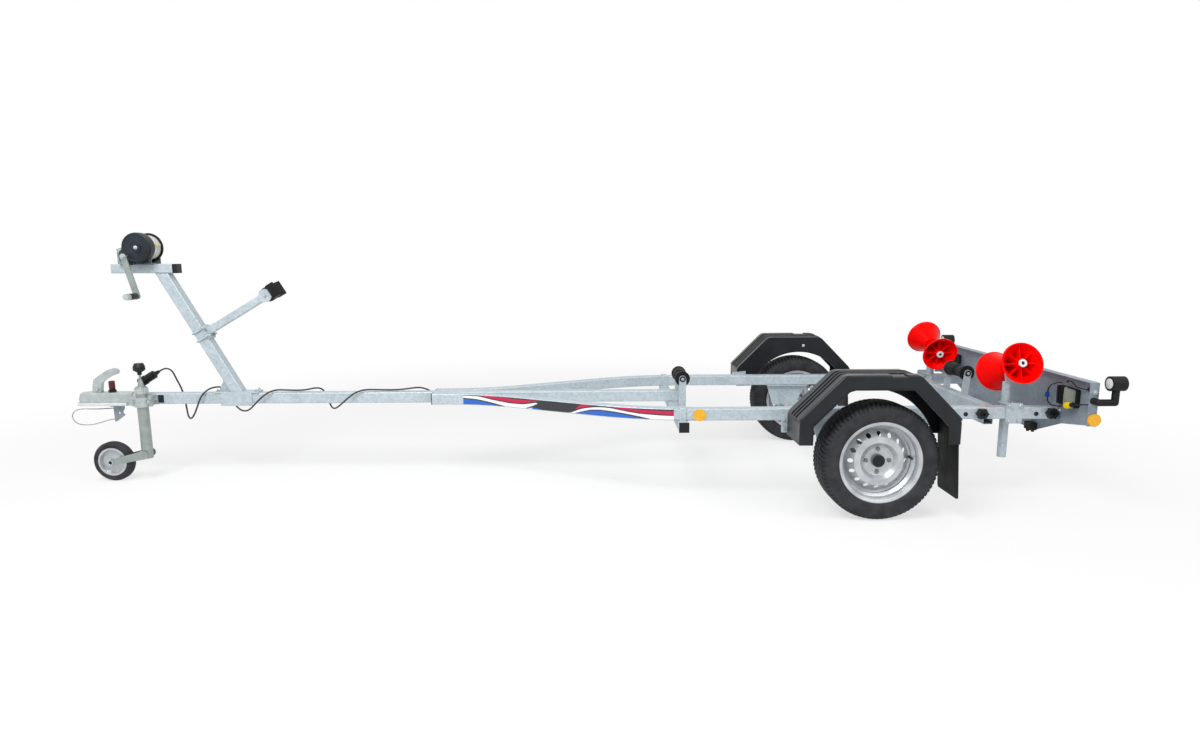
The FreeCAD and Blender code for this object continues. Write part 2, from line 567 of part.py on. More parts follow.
def mudguard(side, label):
    """A moulded shell: three ribs and a raised edge over the top, a lipped window and a lipped arch."""
    def block(inset, low, start, end, bend):
        return guard_block(side, inset, low, start, end, bend)
    def between(start, end, front, rear, low, high):
        near, far = sorted((side * start, side * end))
        return corner_box(V(-front, near, low), V(rear, far, high))
    low, out, wall, bend = S.guard_low, S.guard_out, S.guard_wall, S.guard_bend
    shell = round_outside(block(0, low, S.guard_in, out, bend), side)
    pad = block(-S.guard_pad_high, low, out - S.guard_pad_wide, out, bend + S.guard_pad_high)
    pad = round_outside(pad, side)
    gap = between(S.guard_in, out + S.past, -S.pad_gap_front, S.pad_gap_rear, S.guard_knee,
                  S.guard_top + S.past)
    raised = [pad.cut(gap)]
    for share in GUARD_RIB_SHARES:
        start = S.guard_in + share * (out - S.guard_in)
        raised.append(block(-S.guard_rib_high, low, start, start + S.guard_rib, bend + S.guard_rib_high))
    below = between(S.guard_in - S.past, out + S.past, S.guard_front + S.past, S.guard_rear + S.past,
                    low - S.past, S.guard_knee)
    raised = [part.cut(below) for part in raised]
    lip = block(S.guard_band - S.guard_lip, low, out - S.guard_round - wall, out + S.guard_lip_out,
                S.window_bend)
    centre = V(0, side * (S.guard_in - S.guard_lip_out), S.tyre_size / 2)
    rim_of_arch = Part.makeCylinder(S.guard_arch + S.guard_lip, S.guard_lip_out + wall, centre, V(0, side, 0))
    hollow = block(wall, low - S.past, S.guard_in + wall, out - wall, bend - wall)
    window = block(S.guard_band, low - S.past, out - 2 * wall - S.guard_round, out + S.past,
                   S.window_bend)
    arch = Part.makeCylinder(S.guard_arch, 2 * S.past + wall, centre - V(0, side * S.past, 0), V(0, side, 0))
    under = between(S.guard_in - S.past, out + S.past, S.guard_front + S.past, S.guard_rear + S.past,
                    -S.guard_arch, low)
    shell = shell.fuse(raised + [lip, rim_of_arch]).cut([hollow, window, arch, under])
    node(feature(f"Guard_{label}", shell.removeSplitter()), label)


def mud_flaps():
    """Rubber flaps that hang inside the guards' rear walls and lean back a little."""
    flaps = []
    x, top = S.guard_rear - S.guard_wall - S.flap_thick, S.guard_knee - S.flap_clear
    for side in (-1, 1):
        middle = side * (S.guard_in + S.guard_out) / 2
        left, right = middle - S.flap_wide / 2, middle + S.flap_wide / 2
        points = [(x, S.guard_low), (x + S.flap_lean, S.flap_low),
                  (x + S.flap_lean + S.flap_thick, S.flap_low), (x + S.flap_thick, S.guard_low),
                  (x + S.flap_thick, top), (x, top)]
        flap = prism([V(a, left, z) for a, z in points], V(0, right - left, 0))
        flaps.append(soften(flap, S.flap_corner, V(1, 0, 0),
                            lambda edge: edge.CenterOfMass.z < S.flap_low + S.flap_thick))
    node(feature("Flaps", Part.makeCompound(flaps)), "mud_flaps")


def guard_stays():
    """Flat bars bolted under the rails, turned up against the guards' inner walls."""
    bars = []
    rail_low = S.rail_top - S.tube
    for side in (-1, 1):
        for middle in (-S.stay_front_lead, S.stay_rear_back):
            start, end = S.rail_half - S.tube, S.guard_in
            points = [(start, rail_low - S.stay_thick), (end, rail_low - S.stay_thick),
                      (end, rail_low + S.stay_high), (end - S.stay_thick, rail_low + S.stay_high),
                      (end - S.stay_thick, rail_low), (start, rail_low)]
            bars.append(prism([V(middle - S.stay_wide / 2, side * y, z) for y, z in points],
                              V(S.stay_wide, 0, 0)))
    node(feature("GuardStays", Part.makeCompound(bars)), "mudguard_stays")


def coupling_head():
    """A pressed hood over the drawbar's end with a domed ball cup at the nose and a flared foot."""
    ball_x = -S.nose_reach + S.ball_from_nose
    cup, waist = S.ball_from_nose - S.head_lip, S.tube / 2 + S.head_wall
    tall, flare = S.head_top - S.head_low, S.head_low + S.head_lip_high
    profile = [(0, S.head_low), (cup + S.head_lip, S.head_low), (cup + S.head_lip, flare),
               (cup, flare + S.head_lip)]
    profile += [(cup * wide, S.head_low + tall * high) for wide, high in CUP_SHARES] + [(0, S.head_top)]
    dome = face(outline([V(ball_x + r, 0, z) for r, z in profile])).revolve(V(ball_x, 0, 0), V(0, 0, 1), 360)
    hood = corner_box(V(ball_x, -waist, S.head_low), V(-S.head_rear, waist, S.head_top))
    hood = soften(hood, S.head_round, V(1, 0, 0), lambda edge: edge.CenterOfMass.z > flare)
    lip = corner_box(V(ball_x, -waist - S.head_lip, S.head_low),
                     V(-S.head_lip_rear, waist + S.head_lip, flare))
    lip = soften(lip, S.head_lip, V(1, 0, 0), lambda edge: edge.CenterOfMass.z > S.head_low + S.head_lip)
    channel = corner_box(V(-S.drawbar_front, -S.tube / 2, S.head_low - S.past),
                         V(-S.head_rear + S.past, S.tube / 2, S.rail_top))
    socket = Part.makeCylinder(S.ball + S.ball_gap, S.ball_deep + S.past,
                               V(ball_x, 0, S.head_low - S.past), V(0, 0, 1))
    head = dome.fuse([hood, lip]).cut([channel, socket])
    node(feature("CouplingHead", head.removeSplitter()), "coupling_head")


def coupling_lever():
    """The raised lever that opens the socket: an upright neck and a grip that curves to the rear."""
    points = [V(-S.lever_lead + x * S.lever_long, -S.lever_thick / 2, S.head_top + z * S.lever_high)
              for x, z in LEVER_SHARES]
    start = (points[0] + points[-1]) * 0.5
    lever = face(bent([start] + points + [start], S.lever_round)).extrude(V(0, S.lever_thick, 0))
    foot = corner_box(V(-S.lever_lead, -S.lever_thick / 2, S.head_top),
                      V(-S.lever_lead + S.lock_foot, S.lever_thick / 2, S.head_top + 2 * S.lever_round))
    node(feature("Lever", lever.fuse(foot).removeSplitter()), "coupling_lever")


def coupling_lock():
    """The upright lock cylinder on its round foot behind the lever."""
    foot = cylinder("LockFoot", "z", "-lock_lead", "0", "head_top", "lock_foot", "lock_foot_high")
    barrel = cylinder("LockBarrel", "z", "-lock_lead", "0", "head_top", "lock", "lock_high")
    node(fuse("CouplingLock", foot, barrel), "coupling_lock")


def coupling_eye():
    """A flat hooked bar on a flange under the coupling, with an eye for the breakaway cable."""
    start, half, tall = -S.hook_lead - S.hook_long / 2, S.hook_thick / 2, S.head_low - S.hook_low
    points = [V(start + x * S.hook_long, -half, S.hook_low + z * tall) for x, z in HOOK_SHARES]
    bar = prism(points, V(0, S.hook_thick, 0))
    flange = corner_box(V(start, -S.tube / 2, S.head_low - S.hook_thick),
                        V(start + S.hook_long, S.tube / 2, S.head_low))
    eye = Part.makeCylinder(S.hook_thick, 4 * half,
                            V(start + S.hook_long / 2, -2 * half, S.hook_low + tall / 2), V(0, 1, 0))
    node(feature("CouplingEye", bar.fuse(flange).cut(eye)), "coupling_eye")


def jockey_clamp():
    """A cast clamp bolted to the drawbar's left side, bored for the stand's tube, with two bolted lugs."""
    pad = box("ClampPad", "-stand_lead - clamp_long/2", "-tube/2 - clamp_wall", "clamp_low",
              "clamp_long", "clamp_wall", "clamp_high - clamp_low")
    neck = box("ClampNeck", "-stand_lead - stand_tube/2 - clamp_wall", "-stand_side", "clamp_low",
               "stand_tube + 2*clamp_wall", "stand_side - tube/2", "clamp_high - clamp_low")
    lugs = box("ClampLugs", "-stand_lead - clamp_long/2", "-stand_side - clamp_lug/2", "clamp_low",
               "clamp_long", "clamp_lug", "clamp_high - clamp_low")
    ring = cylinder("ClampRing", "z", "-stand_lead", "-stand_side", "clamp_low",
                    "stand_tube/2 + clamp_wall", "clamp_high - clamp_low")
    bolts = [cylinder(f"ClampBolt{name}", "y", f"-stand_lead {sign} (clamp_long/2 - bolt_inset)",
                      "-stand_side - clamp_lug", "(clamp_low + clamp_high)/2", "clamp_bolt",
                      "stand_side + clamp_lug - tube/2")
             for name, sign in (("Front", "-"), ("Rear", "+"))]
    bore = cylinder("ClampBore", "z", "-stand_lead", "-stand_side", "clamp_low - past",
                    "stand_tube/2 + slide_gap", "clamp_high - clamp_low + 2*past")
    node(cut("JockeyClamp", fuse("ClampBody", pad, neck, lugs, ring, *bolts), bore), "jockey_clamp")


def jockey_stand():
    """The stand's tube with its collar, its top cone and the spindle under the knob."""
    tube, collar, cone_foot = S.stand_tube / 2, S.collar_wide / 2, S.cone_wide / 2
    profile = [(0, S.stand_low), (tube, S.stand_low), (tube, S.collar_low), (collar, S.collar_low),
               (collar, S.collar_high), (collar * DOME_SHARE, S.cone_low), (cone_foot, S.cone_low),
               (S.cone_top_wide / 2, S.cone_high), (S.knob_spindle, S.cone_high),
               (S.knob_spindle, S.knob_low), (0, S.knob_low)]
    node(upright("JockeyStand", profile), "jockey_stand", "-stand_lead", "-stand_side")


def jockey_knob():
    """The mushroom knob that winds the stand up and down."""
    wide = S.knob_wide / 2
    profile = [(0, S.knob_low), (S.knob_neck, S.knob_low), (S.knob_neck, (S.knob_low + S.knob_rim_low) / 2),
               (wide, S.knob_rim_low), (wide, (S.knob_rim_low + S.knob_high) / 2),
               (wide * DOME_SHARE, S.knob_high), (0, S.knob_high)]
    node(upright("JockeyKnob", profile), "jockey_knob", "-stand_lead", "-stand_side")


def jockey_fork():
    """The elbow under the stand's tube and the two flat arms down to the wheel's axle."""
    gap = S.jockey_width / 2 + S.fork_gap
    wheel = V(-S.stand_lead - S.trail, -S.stand_side, S.jockey_wheel / 2)
    elbow = V(-S.stand_lead, -S.stand_side, S.elbow_high)
    solid = Part.makeCylinder(S.stand_tube / 2, S.stand_low - S.elbow_high + S.fork_wide / 2,
                              V(-S.stand_lead, -S.stand_side, S.elbow_high - S.fork_wide / 2), V(0, 0, 1))
    for side in (-1, 1):
        start = min(side * gap, side * (gap + S.fork_thick))
        shift = V(0, start, 0)
        arm = link_plate(elbow + shift, wheel + shift, S.fork_wide / 2, S.fork_tip,
                         V(0, S.fork_thick, 0))
        solid = solid.fuse(arm)
    bridge = Part.makeBox(S.fork_thick * 2, 2 * gap, 2 * S.fork_tip,
                          V(elbow.x - S.stand_tube / 2, -S.stand_side - gap, S.elbow_high - S.fork_tip))
    pin = Part.makeCylinder(S.jockey_axle, 2 * gap, wheel - V(0, gap, 0), V(0, 1, 0))
    node(feature("JockeyFork", solid.fuse([bridge, pin]).removeSplitter()), "jockey_fork")


def jockey_rim():
    half, lip, hub_round = S.jockey_width / 2, S.jockey_rim, S.jockey_hub
    bore = S.jockey_axle + S.pin_gap
    web, wall, lip_half = S.rim_wall, S.rim_wall, S.jockey_lip_half
    profile = [(bore, -half), (hub_round, -half), (hub_round, -web), (lip - 3 * wall, -web),
               (lip - 2 * wall, -lip_half), (lip, -lip_half), (lip, lip_half),
               (lip - 2 * wall, lip_half), (lip - 3 * wall, web), (hub_round, web),
               (hub_round, half), (bore, half)]
    solid = turned(profile, "JockeyRim")
    node(solid, "jockey_rim", "-stand_lead - trail", "-stand_side", "jockey_wheel/2")


def jockey_tyre():
    half, top, foot, lip_half = S.jockey_width / 2, S.jockey_wheel / 2, S.jockey_rim, S.jockey_lip_half
    shoulder, tread = top - S.shoulder_drop, half / 3
    profile = [(foot, -lip_half), (shoulder, -half), (top, -tread), (top, tread), (shoulder, half),
               (foot, lip_half)]
    node(turned(profile, "JockeyTyre"), "jockey_tyre", "-stand_lead - trail", "-stand_side",
         "jockey_wheel/2")


def winch_post():
    """A leaning square tube on a foot plate, with cheeks down the drawbar and a gusset in front."""
    lean = math.radians(S.post_lean)
    run = V(-math.sin(lean), 0, math.cos(lean))
    half = S.tube / 2
    foot = V(-S.post_foot, 0, S.rail_top + S.post_plate_thick)
    rise = S.post_top - foot.z
    across = half / math.cos(lean)
    solid = None
    for y_half, x_half in ((half, across), (half - S.tube_wall, across - S.tube_wall / math.cos(lean))):
        points = [foot + V(-x_half, -y_half, 0), foot + V(x_half, -y_half, 0),
                  foot + V(x_half, y_half, 0), foot + V(-x_half, y_half, 0)]
        part = prism(points, run * (rise / math.cos(lean)))
        solid = soften(part, S.tube_corner, run) if solid is None else solid.cut(part)
    plate = Part.makeBox(S.post_plate, S.tube + 2 * S.plate_thick, S.post_plate_thick,
                         V(-S.post_foot - S.post_plate / 2, -half - S.plate_thick, S.rail_top))
    solid = solid.fuse(plate)
    for side in (-1, 1):
        low = min(side * half, side * (half + S.plate_thick))
        solid = solid.fuse(Part.makeBox(S.post_cheek, S.plate_thick, S.rail_top - S.post_cheek_low,
                                        V(-S.post_foot - S.post_cheek / 2, low, S.post_cheek_low)))
    gusset = [V(-S.gusset_front, 0, foot.z), V(-S.post_foot, 0, foot.z),
              foot + run * ((S.gusset_high - foot.z) / math.cos(lean)) - V(across, 0, 0)]
    gusset = [p - V(0, S.tube_wall, 0) for p in gusset]
    solid = solid.fuse(prism(gusset, V(0, 2 * S.tube_wall, 0)))
    inner = prism([foot + V(-across + S.tube_wall, -half + S.tube_wall, 0),
                   foot + V(across - S.tube_wall, -half + S.tube_wall, 0),
                   foot + V(across - S.tube_wall, half - S.tube_wall, 0),
                   foot + V(-across + S.tube_wall, half - S.tube_wall, 0)], run * rise)
    node(feature("WinchPost", solid.cut(inner).removeSplitter()), "winch_post")


def winch_beam():
    bar = tube_body("WinchBeam", "YZ_Plane", S.arm_tube, S.arm_tube, "arm_front - arm_rear")
    node(bar, "winch_beam", "-(arm_front + arm_rear)/2", "0", "post_top + arm_tube/2")


def winch_frame():
    """A folded channel bolted on the beam: two side plates with the drum between them."""
    low, top = S.post_top + S.arm_tube, S.winch_height + S.winch_plate_above
    inside = S.drum_half + S.drum_gap
    front, rear = -S.winch_plate_front, -S.winch_plate_rear
    base = Part.makeBox(rear - front, 2 * (inside + S.side_plate), S.side_plate,
                        V(front, -inside - S.side_plate, low))
    solid = base
    points = [(front, low), (rear, low), (rear, S.winch_height), (-S.winch_lead + S.winch_shaft * 2, top),
              (-S.winch_lead - S.winch_shaft * 2, top), (front, low + S.winch_plate_front_high)]
    for start in (-inside - S.side_plate, inside):
        solid = solid.fuse(prism([V(x, start, z) for x, z in points], V(0, S.side_plate, 0)))
    for x, z in ((-S.winch_lead, S.winch_height), (-S.crank_lead, S.crank_height)):
        hole = Part.makeCylinder(S.winch_shaft + S.pin_gap, 4 * inside, V(x, -2 * inside, z), V(0, 1, 0))
        solid = solid.cut(hole)
    node(feature("WinchFrame", solid), "winch_frame")


def winch_cover():
    """The moulded cover over the gears on the left: a round dish, a lobe round the crank and a foot."""
    inside = S.drum_half + S.drum_gap + S.side_plate
    deep, across = S.cover_out - inside, V(0, 1, 0)
    start = V(-S.winch_lead, -S.cover_out, S.winch_height)
    crank = V(-S.crank_lead, -S.cover_out + S.lobe_drop, S.crank_height)
    dish = Part.makeCylinder(S.winch_cover, deep, start, across)
    brim = [edge for edge in dish.Edges if edge.Closed and edge.CenterOfMass.y < S.pin_gap - S.cover_out]
    dish = dish.makeFillet(S.cover_round, brim)
    boss = Part.makeCylinder(S.cover_boss, S.cover_boss_out, start - across * S.cover_boss_out, across)
    lobe = link_plate(crank, start + across * S.lobe_drop, S.cover_lobe, S.cover_lobe,
                      across * (deep - S.lobe_drop))
    foot_low = S.post_top + S.arm_tube + S.side_plate
    foot = corner_box(V(-S.cover_foot_front, -inside - S.cover_foot_deep, foot_low),
                      V(-S.cover_foot_rear, -inside, foot_low + S.cover_foot_high))
    holes = [Part.makeCylinder(S.winch_shaft + S.cover_boss_out, 3 * S.cover_out,
                               point - across * (S.lobe_drop + S.past), across) for point in (start, crank)]
    cover = dish.fuse([boss, lobe, foot]).cut(holes)
    node(feature("WinchCover", cover.removeSplitter()), "winch_cover")


def winch_drum():
    """The drum with its far flange, the wound strap and the shaft through the frame."""
    half, shaft, out = S.drum_half, S.winch_shaft, S.cover_out + S.cover_boss_out
    end = half + S.drum_gap + 3 * S.side_plate
    inside = half - S.side_plate
    profile = [(0, -out), (shaft, -out), (shaft, -half), (S.strap_roll, -half), (S.strap_roll, inside),
               (S.drum_flange, inside), (S.drum_flange, half), (shaft, half), (shaft, end), (0, end)]
    node(turned(profile, "WinchDrum"), "winch_drum", "-winch_lead", "0", "winch_height")


def winch_crank():
    """The crank's shaft, its flat arm hanging down and the grip that points outwards."""
    axis = V(-S.crank_lead, 0, S.crank_height)
    inside = S.drum_half + S.drum_gap + S.side_plate
    shaft = Part.makeCylinder(S.winch_shaft, S.crank_out - inside + 2 * S.side_plate,
                              axis - V(0, S.crank_out, 0), V(0, 1, 0))
    lean = math.radians(S.crank_angle)
    tip = axis + V(math.sin(lean), 0, -math.cos(lean)) * S.crank_radius
    shift = V(0, -S.crank_out - S.crank_thick, 0)
    arm = link_plate(axis + shift, tip + shift, S.crank_wide / 2, S.crank_wide / 2, V(0, S.crank_thick, 0))
    grip = Part.makeCylinder(S.handle, S.handle_long, tip + shift - V(0, S.handle_long, 0), V(0, 1, 0))
    node(feature("WinchCrank", shaft.fuse([arm, grip]).removeSplitter()), "winch_crank")


def bow_grip():
    """Where the bow arm's clamp grips the post, with the post's own run and its rearward normal."""
    lean = math.radians(S.post_lean)
    run, out = V(-math.sin(lean), 0, math.cos(lean)), V(math.cos(lean), 0, math.sin(lean))
    foot = V(-S.post_foot, 0, S.rail_top + S.post_plate_thick)
    return foot + run * ((S.bow_grip - foot.z) / math.cos(lean)), run, out


def bow_tip():
    """The far end of the bow arm, with the arm's own run and its upward normal."""
    grip, run, out = bow_grip()
    rise = math.radians(S.bow_angle)
    along, up = V(math.cos(rise), 0, math.sin(rise)), V(-math.sin(rise), 0, math.cos(rise))
    start = grip + out * (S.tube / 2 + S.plate_thick) - along * S.plate_thick
    return start + along * S.bow_long, along, up


def bow_arm():
    """A square arm rising to the rear from a plate, held on the post by two bent rods, with round ears."""
    grip, run, out = bow_grip()
    tip, along, up = bow_tip()
    across, half, side_half = V(0, 1, 0), S.tube / 2, S.bow_tube / 2
    reach = half + S.plate_thick
    corners = [grip + run * level + out * depth - across * reach
               for level, depth in ((-S.bow_plate_half, half), (S.bow_plate_half, half),
                                    (S.bow_plate_half, reach), (-S.bow_plate_half, reach))]
    solid = prism(corners, across * 2 * reach)
    start = tip - along * S.bow_long
    section = [start + up * side_half - across * side_half, start - up * side_half - across * side_half,
               start - up * side_half + across * side_half, start + up * side_half + across * side_half]
    solid = solid.fuse(soften(prism(section, along * S.bow_long), S.tube_corner, along))
    clear = half + S.bow_rod + S.pin_gap
    for level in (-S.bow_rod_apart / 2, S.bow_rod_apart / 2):
        middle = grip + run * level
        path = [middle + out * (reach + S.rod_end) - across * clear, middle - out * clear - across * clear,
                middle - out * clear + across * clear, middle + out * (reach + S.rod_end) + across * clear]
        solid = solid.fuse(rod(path, S.rod_bend, S.bow_rod))
    for side in (-1, 1):
        low = min(side * side_half, side * (side_half + S.ear_thick))
        solid = solid.fuse(Part.makeCylinder(S.ear, S.ear_thick, tip + across * low, across))
    seat = tip + along * S.bow_seat
    beyond = [seat - up * 2 * S.ear, seat + up * 2 * S.ear, seat + up * 2 * S.ear + along * S.ear,
              seat - up * 2 * S.ear + along * S.ear]
    solid = solid.cut(prism([p - across * 2 * S.ear for p in beyond], across * 4 * S.ear))
    long = 2 * S.bow_plate_half
    post = [grip - run * long - out * half - across * half, grip - run * long + out * half - across * half,
            grip - run * long + out * half + across * half, grip - run * long - out * half + across * half]
    node(feature("BowArm", solid.cut(prism(post, run * 2 * long)).removeSplitter()), "bow_arm")


def bow_block():
    """The rubber block that takes the bow: a tongue between the ears, and a V in its rear face."""
    half, side, tongue = S.bow_block_side / 2, S.bow_block_wide / 2, S.bow_tube / 2
    tip, along, up = bow_tip()
    thick, seat = S.bow_block_thick, S.bow_seat
    corners = [(0, -tongue), (seat, -tongue), (seat, -side), (seat + thick, -side),
               (seat + thick * BLOCK_NOTCH_SHARE, 0), (seat + thick, side), (seat, side), (seat, tongue),
               (0, tongue)]
    points = [tip - up * half + along * a + V(0, y, 0) for a, y in corners]
    node(feature("BowBlock", prism(points, up * 2 * half)), "bow_block")


def keel_brackets():
    """A folded U behind each cross member whose two arms carry a keel roller's pin."""
    brackets = []
    inside = S.keel_long / 2 + S.bracket_gap
    wide, thick, round_end = 2 * (inside + S.bracket_thick), S.bracket_thick, S.bracket_wide / 2
    front_face = -S.member_reach + S.member_tube / 2
    rear_face = S.rear_member_back + S.rear_member_wide
    member_low = S.rail_top - S.tube - S.member_tube
    rear_low = S.rail_top - S.bracket_base
    for face, low, base, lead, height in (
            (front_face, member_low, S.member_tube, S.keel_lead, S.keel_front_height),
            (rear_face, rear_low, S.bracket_base, S.keel_rear_lead, S.keel_rear_height)):
        bracket = Part.makeBox(thick, wide, base, V(face, -wide / 2, low))
        pin = V(face + lead, -wide / 2, height)
        foot = V(face + round_end, -wide / 2, low + round_end)
        for start in (0, wide - thick):
            shift = V(0, start, 0)
            arm = link_plate(foot + shift, pin + shift, round_end, round_end, V(0, thick, 0))
            bracket = bracket.fuse(arm)
        bracket = bracket.fuse(Part.makeCylinder(S.keel_bore, wide, pin, V(0, 1, 0)))
        brackets.append(bracket.removeSplitter())
    node(feature("KeelBrackets", Part.makeCompound(brackets)), "keel_roller_brackets")


def keel_roller(label, x, z):
    """A rubber roller with a flange at each end, falling to a waist in the middle."""
    half, bore, tread = S.keel_long / 2, S.keel_bore + S.pin_gap, S.keel_roller - S.keel_step
    flange = half - S.keel_flange
    profile = [(bore, -half), (S.keel_roller, -half), (S.keel_roller, -flange),
               (tread, -flange + S.keel_step), (S.keel_waist, 0), (tread, flange - S.keel_step),
               (S.keel_roller, flange), (S.keel_roller, half), (bore, half)]
    node(turned(profile, f"Roller_{label}"), label, x, "0", z)


def cone_posts():
    """Round tubes clamped inside the rails, each with a tilted blade and shaft for two cones."""
    posts = []
    half, wall, up = S.cone_post / 2, S.tube_wall, V(0, 0, 1)
    tilt = math.radians(S.cone_tilt)
    rail_middle = S.rail_top - S.tube / 2
    for side in (-1, 1):
        middle = side * (S.rail_half - S.tube - half)
        hub_point = V(S.cone_post_back, middle, S.cone_height)
        along = V(0, side * math.cos(tilt), math.sin(tilt))
        down = V(0, side * math.sin(tilt), -math.cos(tilt))
        foot = V(S.cone_post_back, middle, S.cone_post_low)
        post = Part.makeCylinder(half, S.cone_height - S.cone_post_low, foot, up)
        above = hub_point + down * S.cone_blade
        roof = [above - along * 2 * S.cone_post, above + along * 2 * S.cone_post,
                above + along * 2 * S.cone_post - down * 2 * S.cone_long,
                above - along * 2 * S.cone_post - down * 2 * S.cone_long]
        post = post.cut(prism([p - V(S.cone_post, 0, 0) for p in roof], V(2 * S.cone_post, 0, 0)))
        post = post.cut(Part.makeCylinder(half - wall, S.cone_height, foot + up * wall, up))
        post = post.makeFillet(wall, [edge for edge in post.Edges if edge.BoundBox.ZMax < foot.z + S.pin_gap])
        thin = S.cone_clear - S.cone_running
        head, heel = hub_point - down * S.cone_shaft, hub_point + down * (S.cone_blade + S.cone_shaft)
        blade = [head - along * thin, head + along * thin, heel + along * thin, heel - along * thin]
        blade = prism([p - V(half, 0, 0) for p in blade], V(S.cone_post, 0, 0))
        reach = S.cone_clear + S.cone_long
        shaft = Part.makeCylinder(S.cone_shaft, 2 * reach, hub_point - along * reach, along)
        near, far = sorted((side * S.rail_half, side * (S.rail_half + S.cone_plate_thick)))
        plate = corner_box(V(S.cone_post_back - S.cone_plate / 2, near, rail_middle - S.cone_plate_high / 2),
                           V(S.cone_post_back + S.cone_plate / 2, far, rail_middle + S.cone_plate_high / 2))
        plate = soften(plate, S.cone_plate_corner, V(0, 1, 0))
        ends = side * (S.rail_half + S.cone_plate_thick + S.clamp_rod_end)
        back = side * (S.rail_half - S.tube - S.cone_post - S.clamp_rod)
        apart = half + S.clamp_rod
        for level in (-1, 1):
            height = rail_middle + level * (S.tube / 2 + S.clamp_rod_lift + S.clamp_rod)
            path = [V(S.cone_post_back + a, b, height)
                    for a, b in ((-apart, ends), (-apart, back), (apart, back), (apart, ends))]
            plate = plate.fuse(rod(path, half, S.clamp_rod))
        posts += [post.fuse([blade, shaft]).removeSplitter(), plate]
    node(feature("ConePosts", Part.makeCompound(posts)), "cone_posts")


def cone(label, side, outward):
    """A hollow cone on the tilted shaft, its big end away from the post, with radial ribs inside."""
    bore, bush = S.cone_shaft + S.pin_gap, S.cone_shaft * 2
    start, end, wall = S.cone_clear, S.cone_clear + S.cone_long, S.cone_wall
    floor, mouth = start + S.cone_floor, end - S.cone_mouth
    small_in, big_in = S.cone_small - wall, S.cone_big - wall * 2
    profile = [(bore, start), (S.cone_small, start), (S.cone_big - wall, end - wall * 2),
               (S.cone_big, end - wall), (S.cone_big, end), (S.cone_big - wall, end),
               (big_in, mouth), (small_in, floor), (bush, floor), (bush, end - wall), (bore, end - wall)]
    body = doc.addObject("PartDesign::Body", f"Body_{label}")
    drawing = sketch(body, f"Profile_{label}", "XY_Plane", outline([V(r, a) for r, a in profile]))
    shell = body.newObject("PartDesign::Revolution", f"Shell_{label}")
    shell.Profile = drawing
    shell.ReferenceAxis = (drawing, ["V_Axis"])
    sunk = wall / 2
    rib_line = [(bush - sunk, floor - sunk), (small_in + sunk, floor - sunk),
                (big_in + sunk, mouth - S.rib_sunk), (bush - sunk, mouth - S.rib_sunk)]
    rib_sketch = sketch(body, f"Rib_{label}", "XY_Plane", outline([V(r, a) for r, a in rib_line]))
    rib = body.newObject("PartDesign::Pad", f"RibPad_{label}")
    rib.Profile = rib_sketch
    rib.Midplane = True
    bind(rib, "Length", "cone_rib")
    ring_of(body, rib, f"Ribs_{label}", "cone_ribs")
    turn = FreeCAD.Rotation(V(1, 0, 0), S.cone_tilt * side)
    if side * outward < 0:
        turn = turn.multiply(FreeCAD.Rotation(V(0, 0, 1), 180))
    body.Placement = FreeCAD.Placement(V(0, 0, 0), turn)
    node(body, label, "cone_post_back", f"{side}*(rail_half - tube - cone_post/2)", "cone_height")


def light_board():
    """A folded channel across the tail, deeper in the middle, with a lip along the top."""
    front, wall = S.board_front, S.board_wall
    points = [(-S.board_half, S.board_low), (-S.board_deep_half - S.board_deep_run, S.board_knee),
              (-S.board_deep_half, S.board_deep), (S.board_deep_half, S.board_deep),
              (S.board_deep_half + S.board_deep_run, S.board_knee), (S.board_half, S.board_low),
              (S.board_half, S.board_top), (-S.board_half, S.board_top)]
    web = prism([V(front + S.board_lip, y, z) for y, z in points], V(wall, 0, 0))
    top = corner_box(V(front, -S.board_half, S.board_top - wall),
                     V(front + S.board_lip + wall, S.board_half, S.board_top))
    solid = web.fuse(top)
    for side in (-1, 1):
        low = min(side * S.board_half, side * (S.board_half - wall))
        solid = solid.fuse(Part.makeBox(S.board_lip + wall, wall, S.board_top - S.board_low,
                                        V(front, low, S.board_low)))
    back = front + S.board_lip + wall
    panel = corner_box(V(back, -S.number_plate_half, S.board_deep),
                       V(back + wall, S.number_plate_half, S.board_deep + S.number_plate_high))
    node(feature("LightBoard", solid.fuse(panel).removeSplitter()), "light_board")


def slide_bars():
    """Round bars that slide in the rails' ends, each on two square guides."""
    bars = []
    height = S.rail_top - S.tube / 2
    start = S.board_front + S.board_lip - S.slide_long
    inside = S.tube / 2 - S.tube_wall - S.slide_gap
    for side in (-1, 1):
        middle = side * (S.rail_half - S.tube / 2)
        bar = Part.makeCylinder(S.slide_bar / 2, S.slide_long, V(start, middle, height), V(1, 0, 0))
        guide = Part.makeBox(S.slide_bush, 2 * inside, 2 * inside, V(start, middle - inside, height - inside))
        bars.append(bar.fuse(guide).removeSplitter())
    node(feature("SlideBars", Part.makeCompound(bars)), "slide_bars")


def slide_guides():
    """Blocks fixed in the rails' open ends, bored for the round bars."""
    blocks = []
    height = S.rail_top - S.tube / 2
    inside = S.tube / 2 - S.tube_wall
    for side in (-1, 1):
        middle = side * (S.rail_half - S.tube / 2)
        block = Part.makeBox(2 * S.slide_bush, 2 * inside, 2 * inside,
                             V(S.rail_tail - 2 * S.slide_bush, middle - inside, height - inside))
        bore = Part.makeCylinder(S.slide_bar / 2 + S.slide_gap, 4 * S.slide_bush,
                                 V(S.rail_tail - 3 * S.slide_bush, middle, height), V(1, 0, 0))
        blocks.append(block.cut(bore))
    node(feature("SlideGuides", Part.makeCompound(blocks)), "slide_guides")


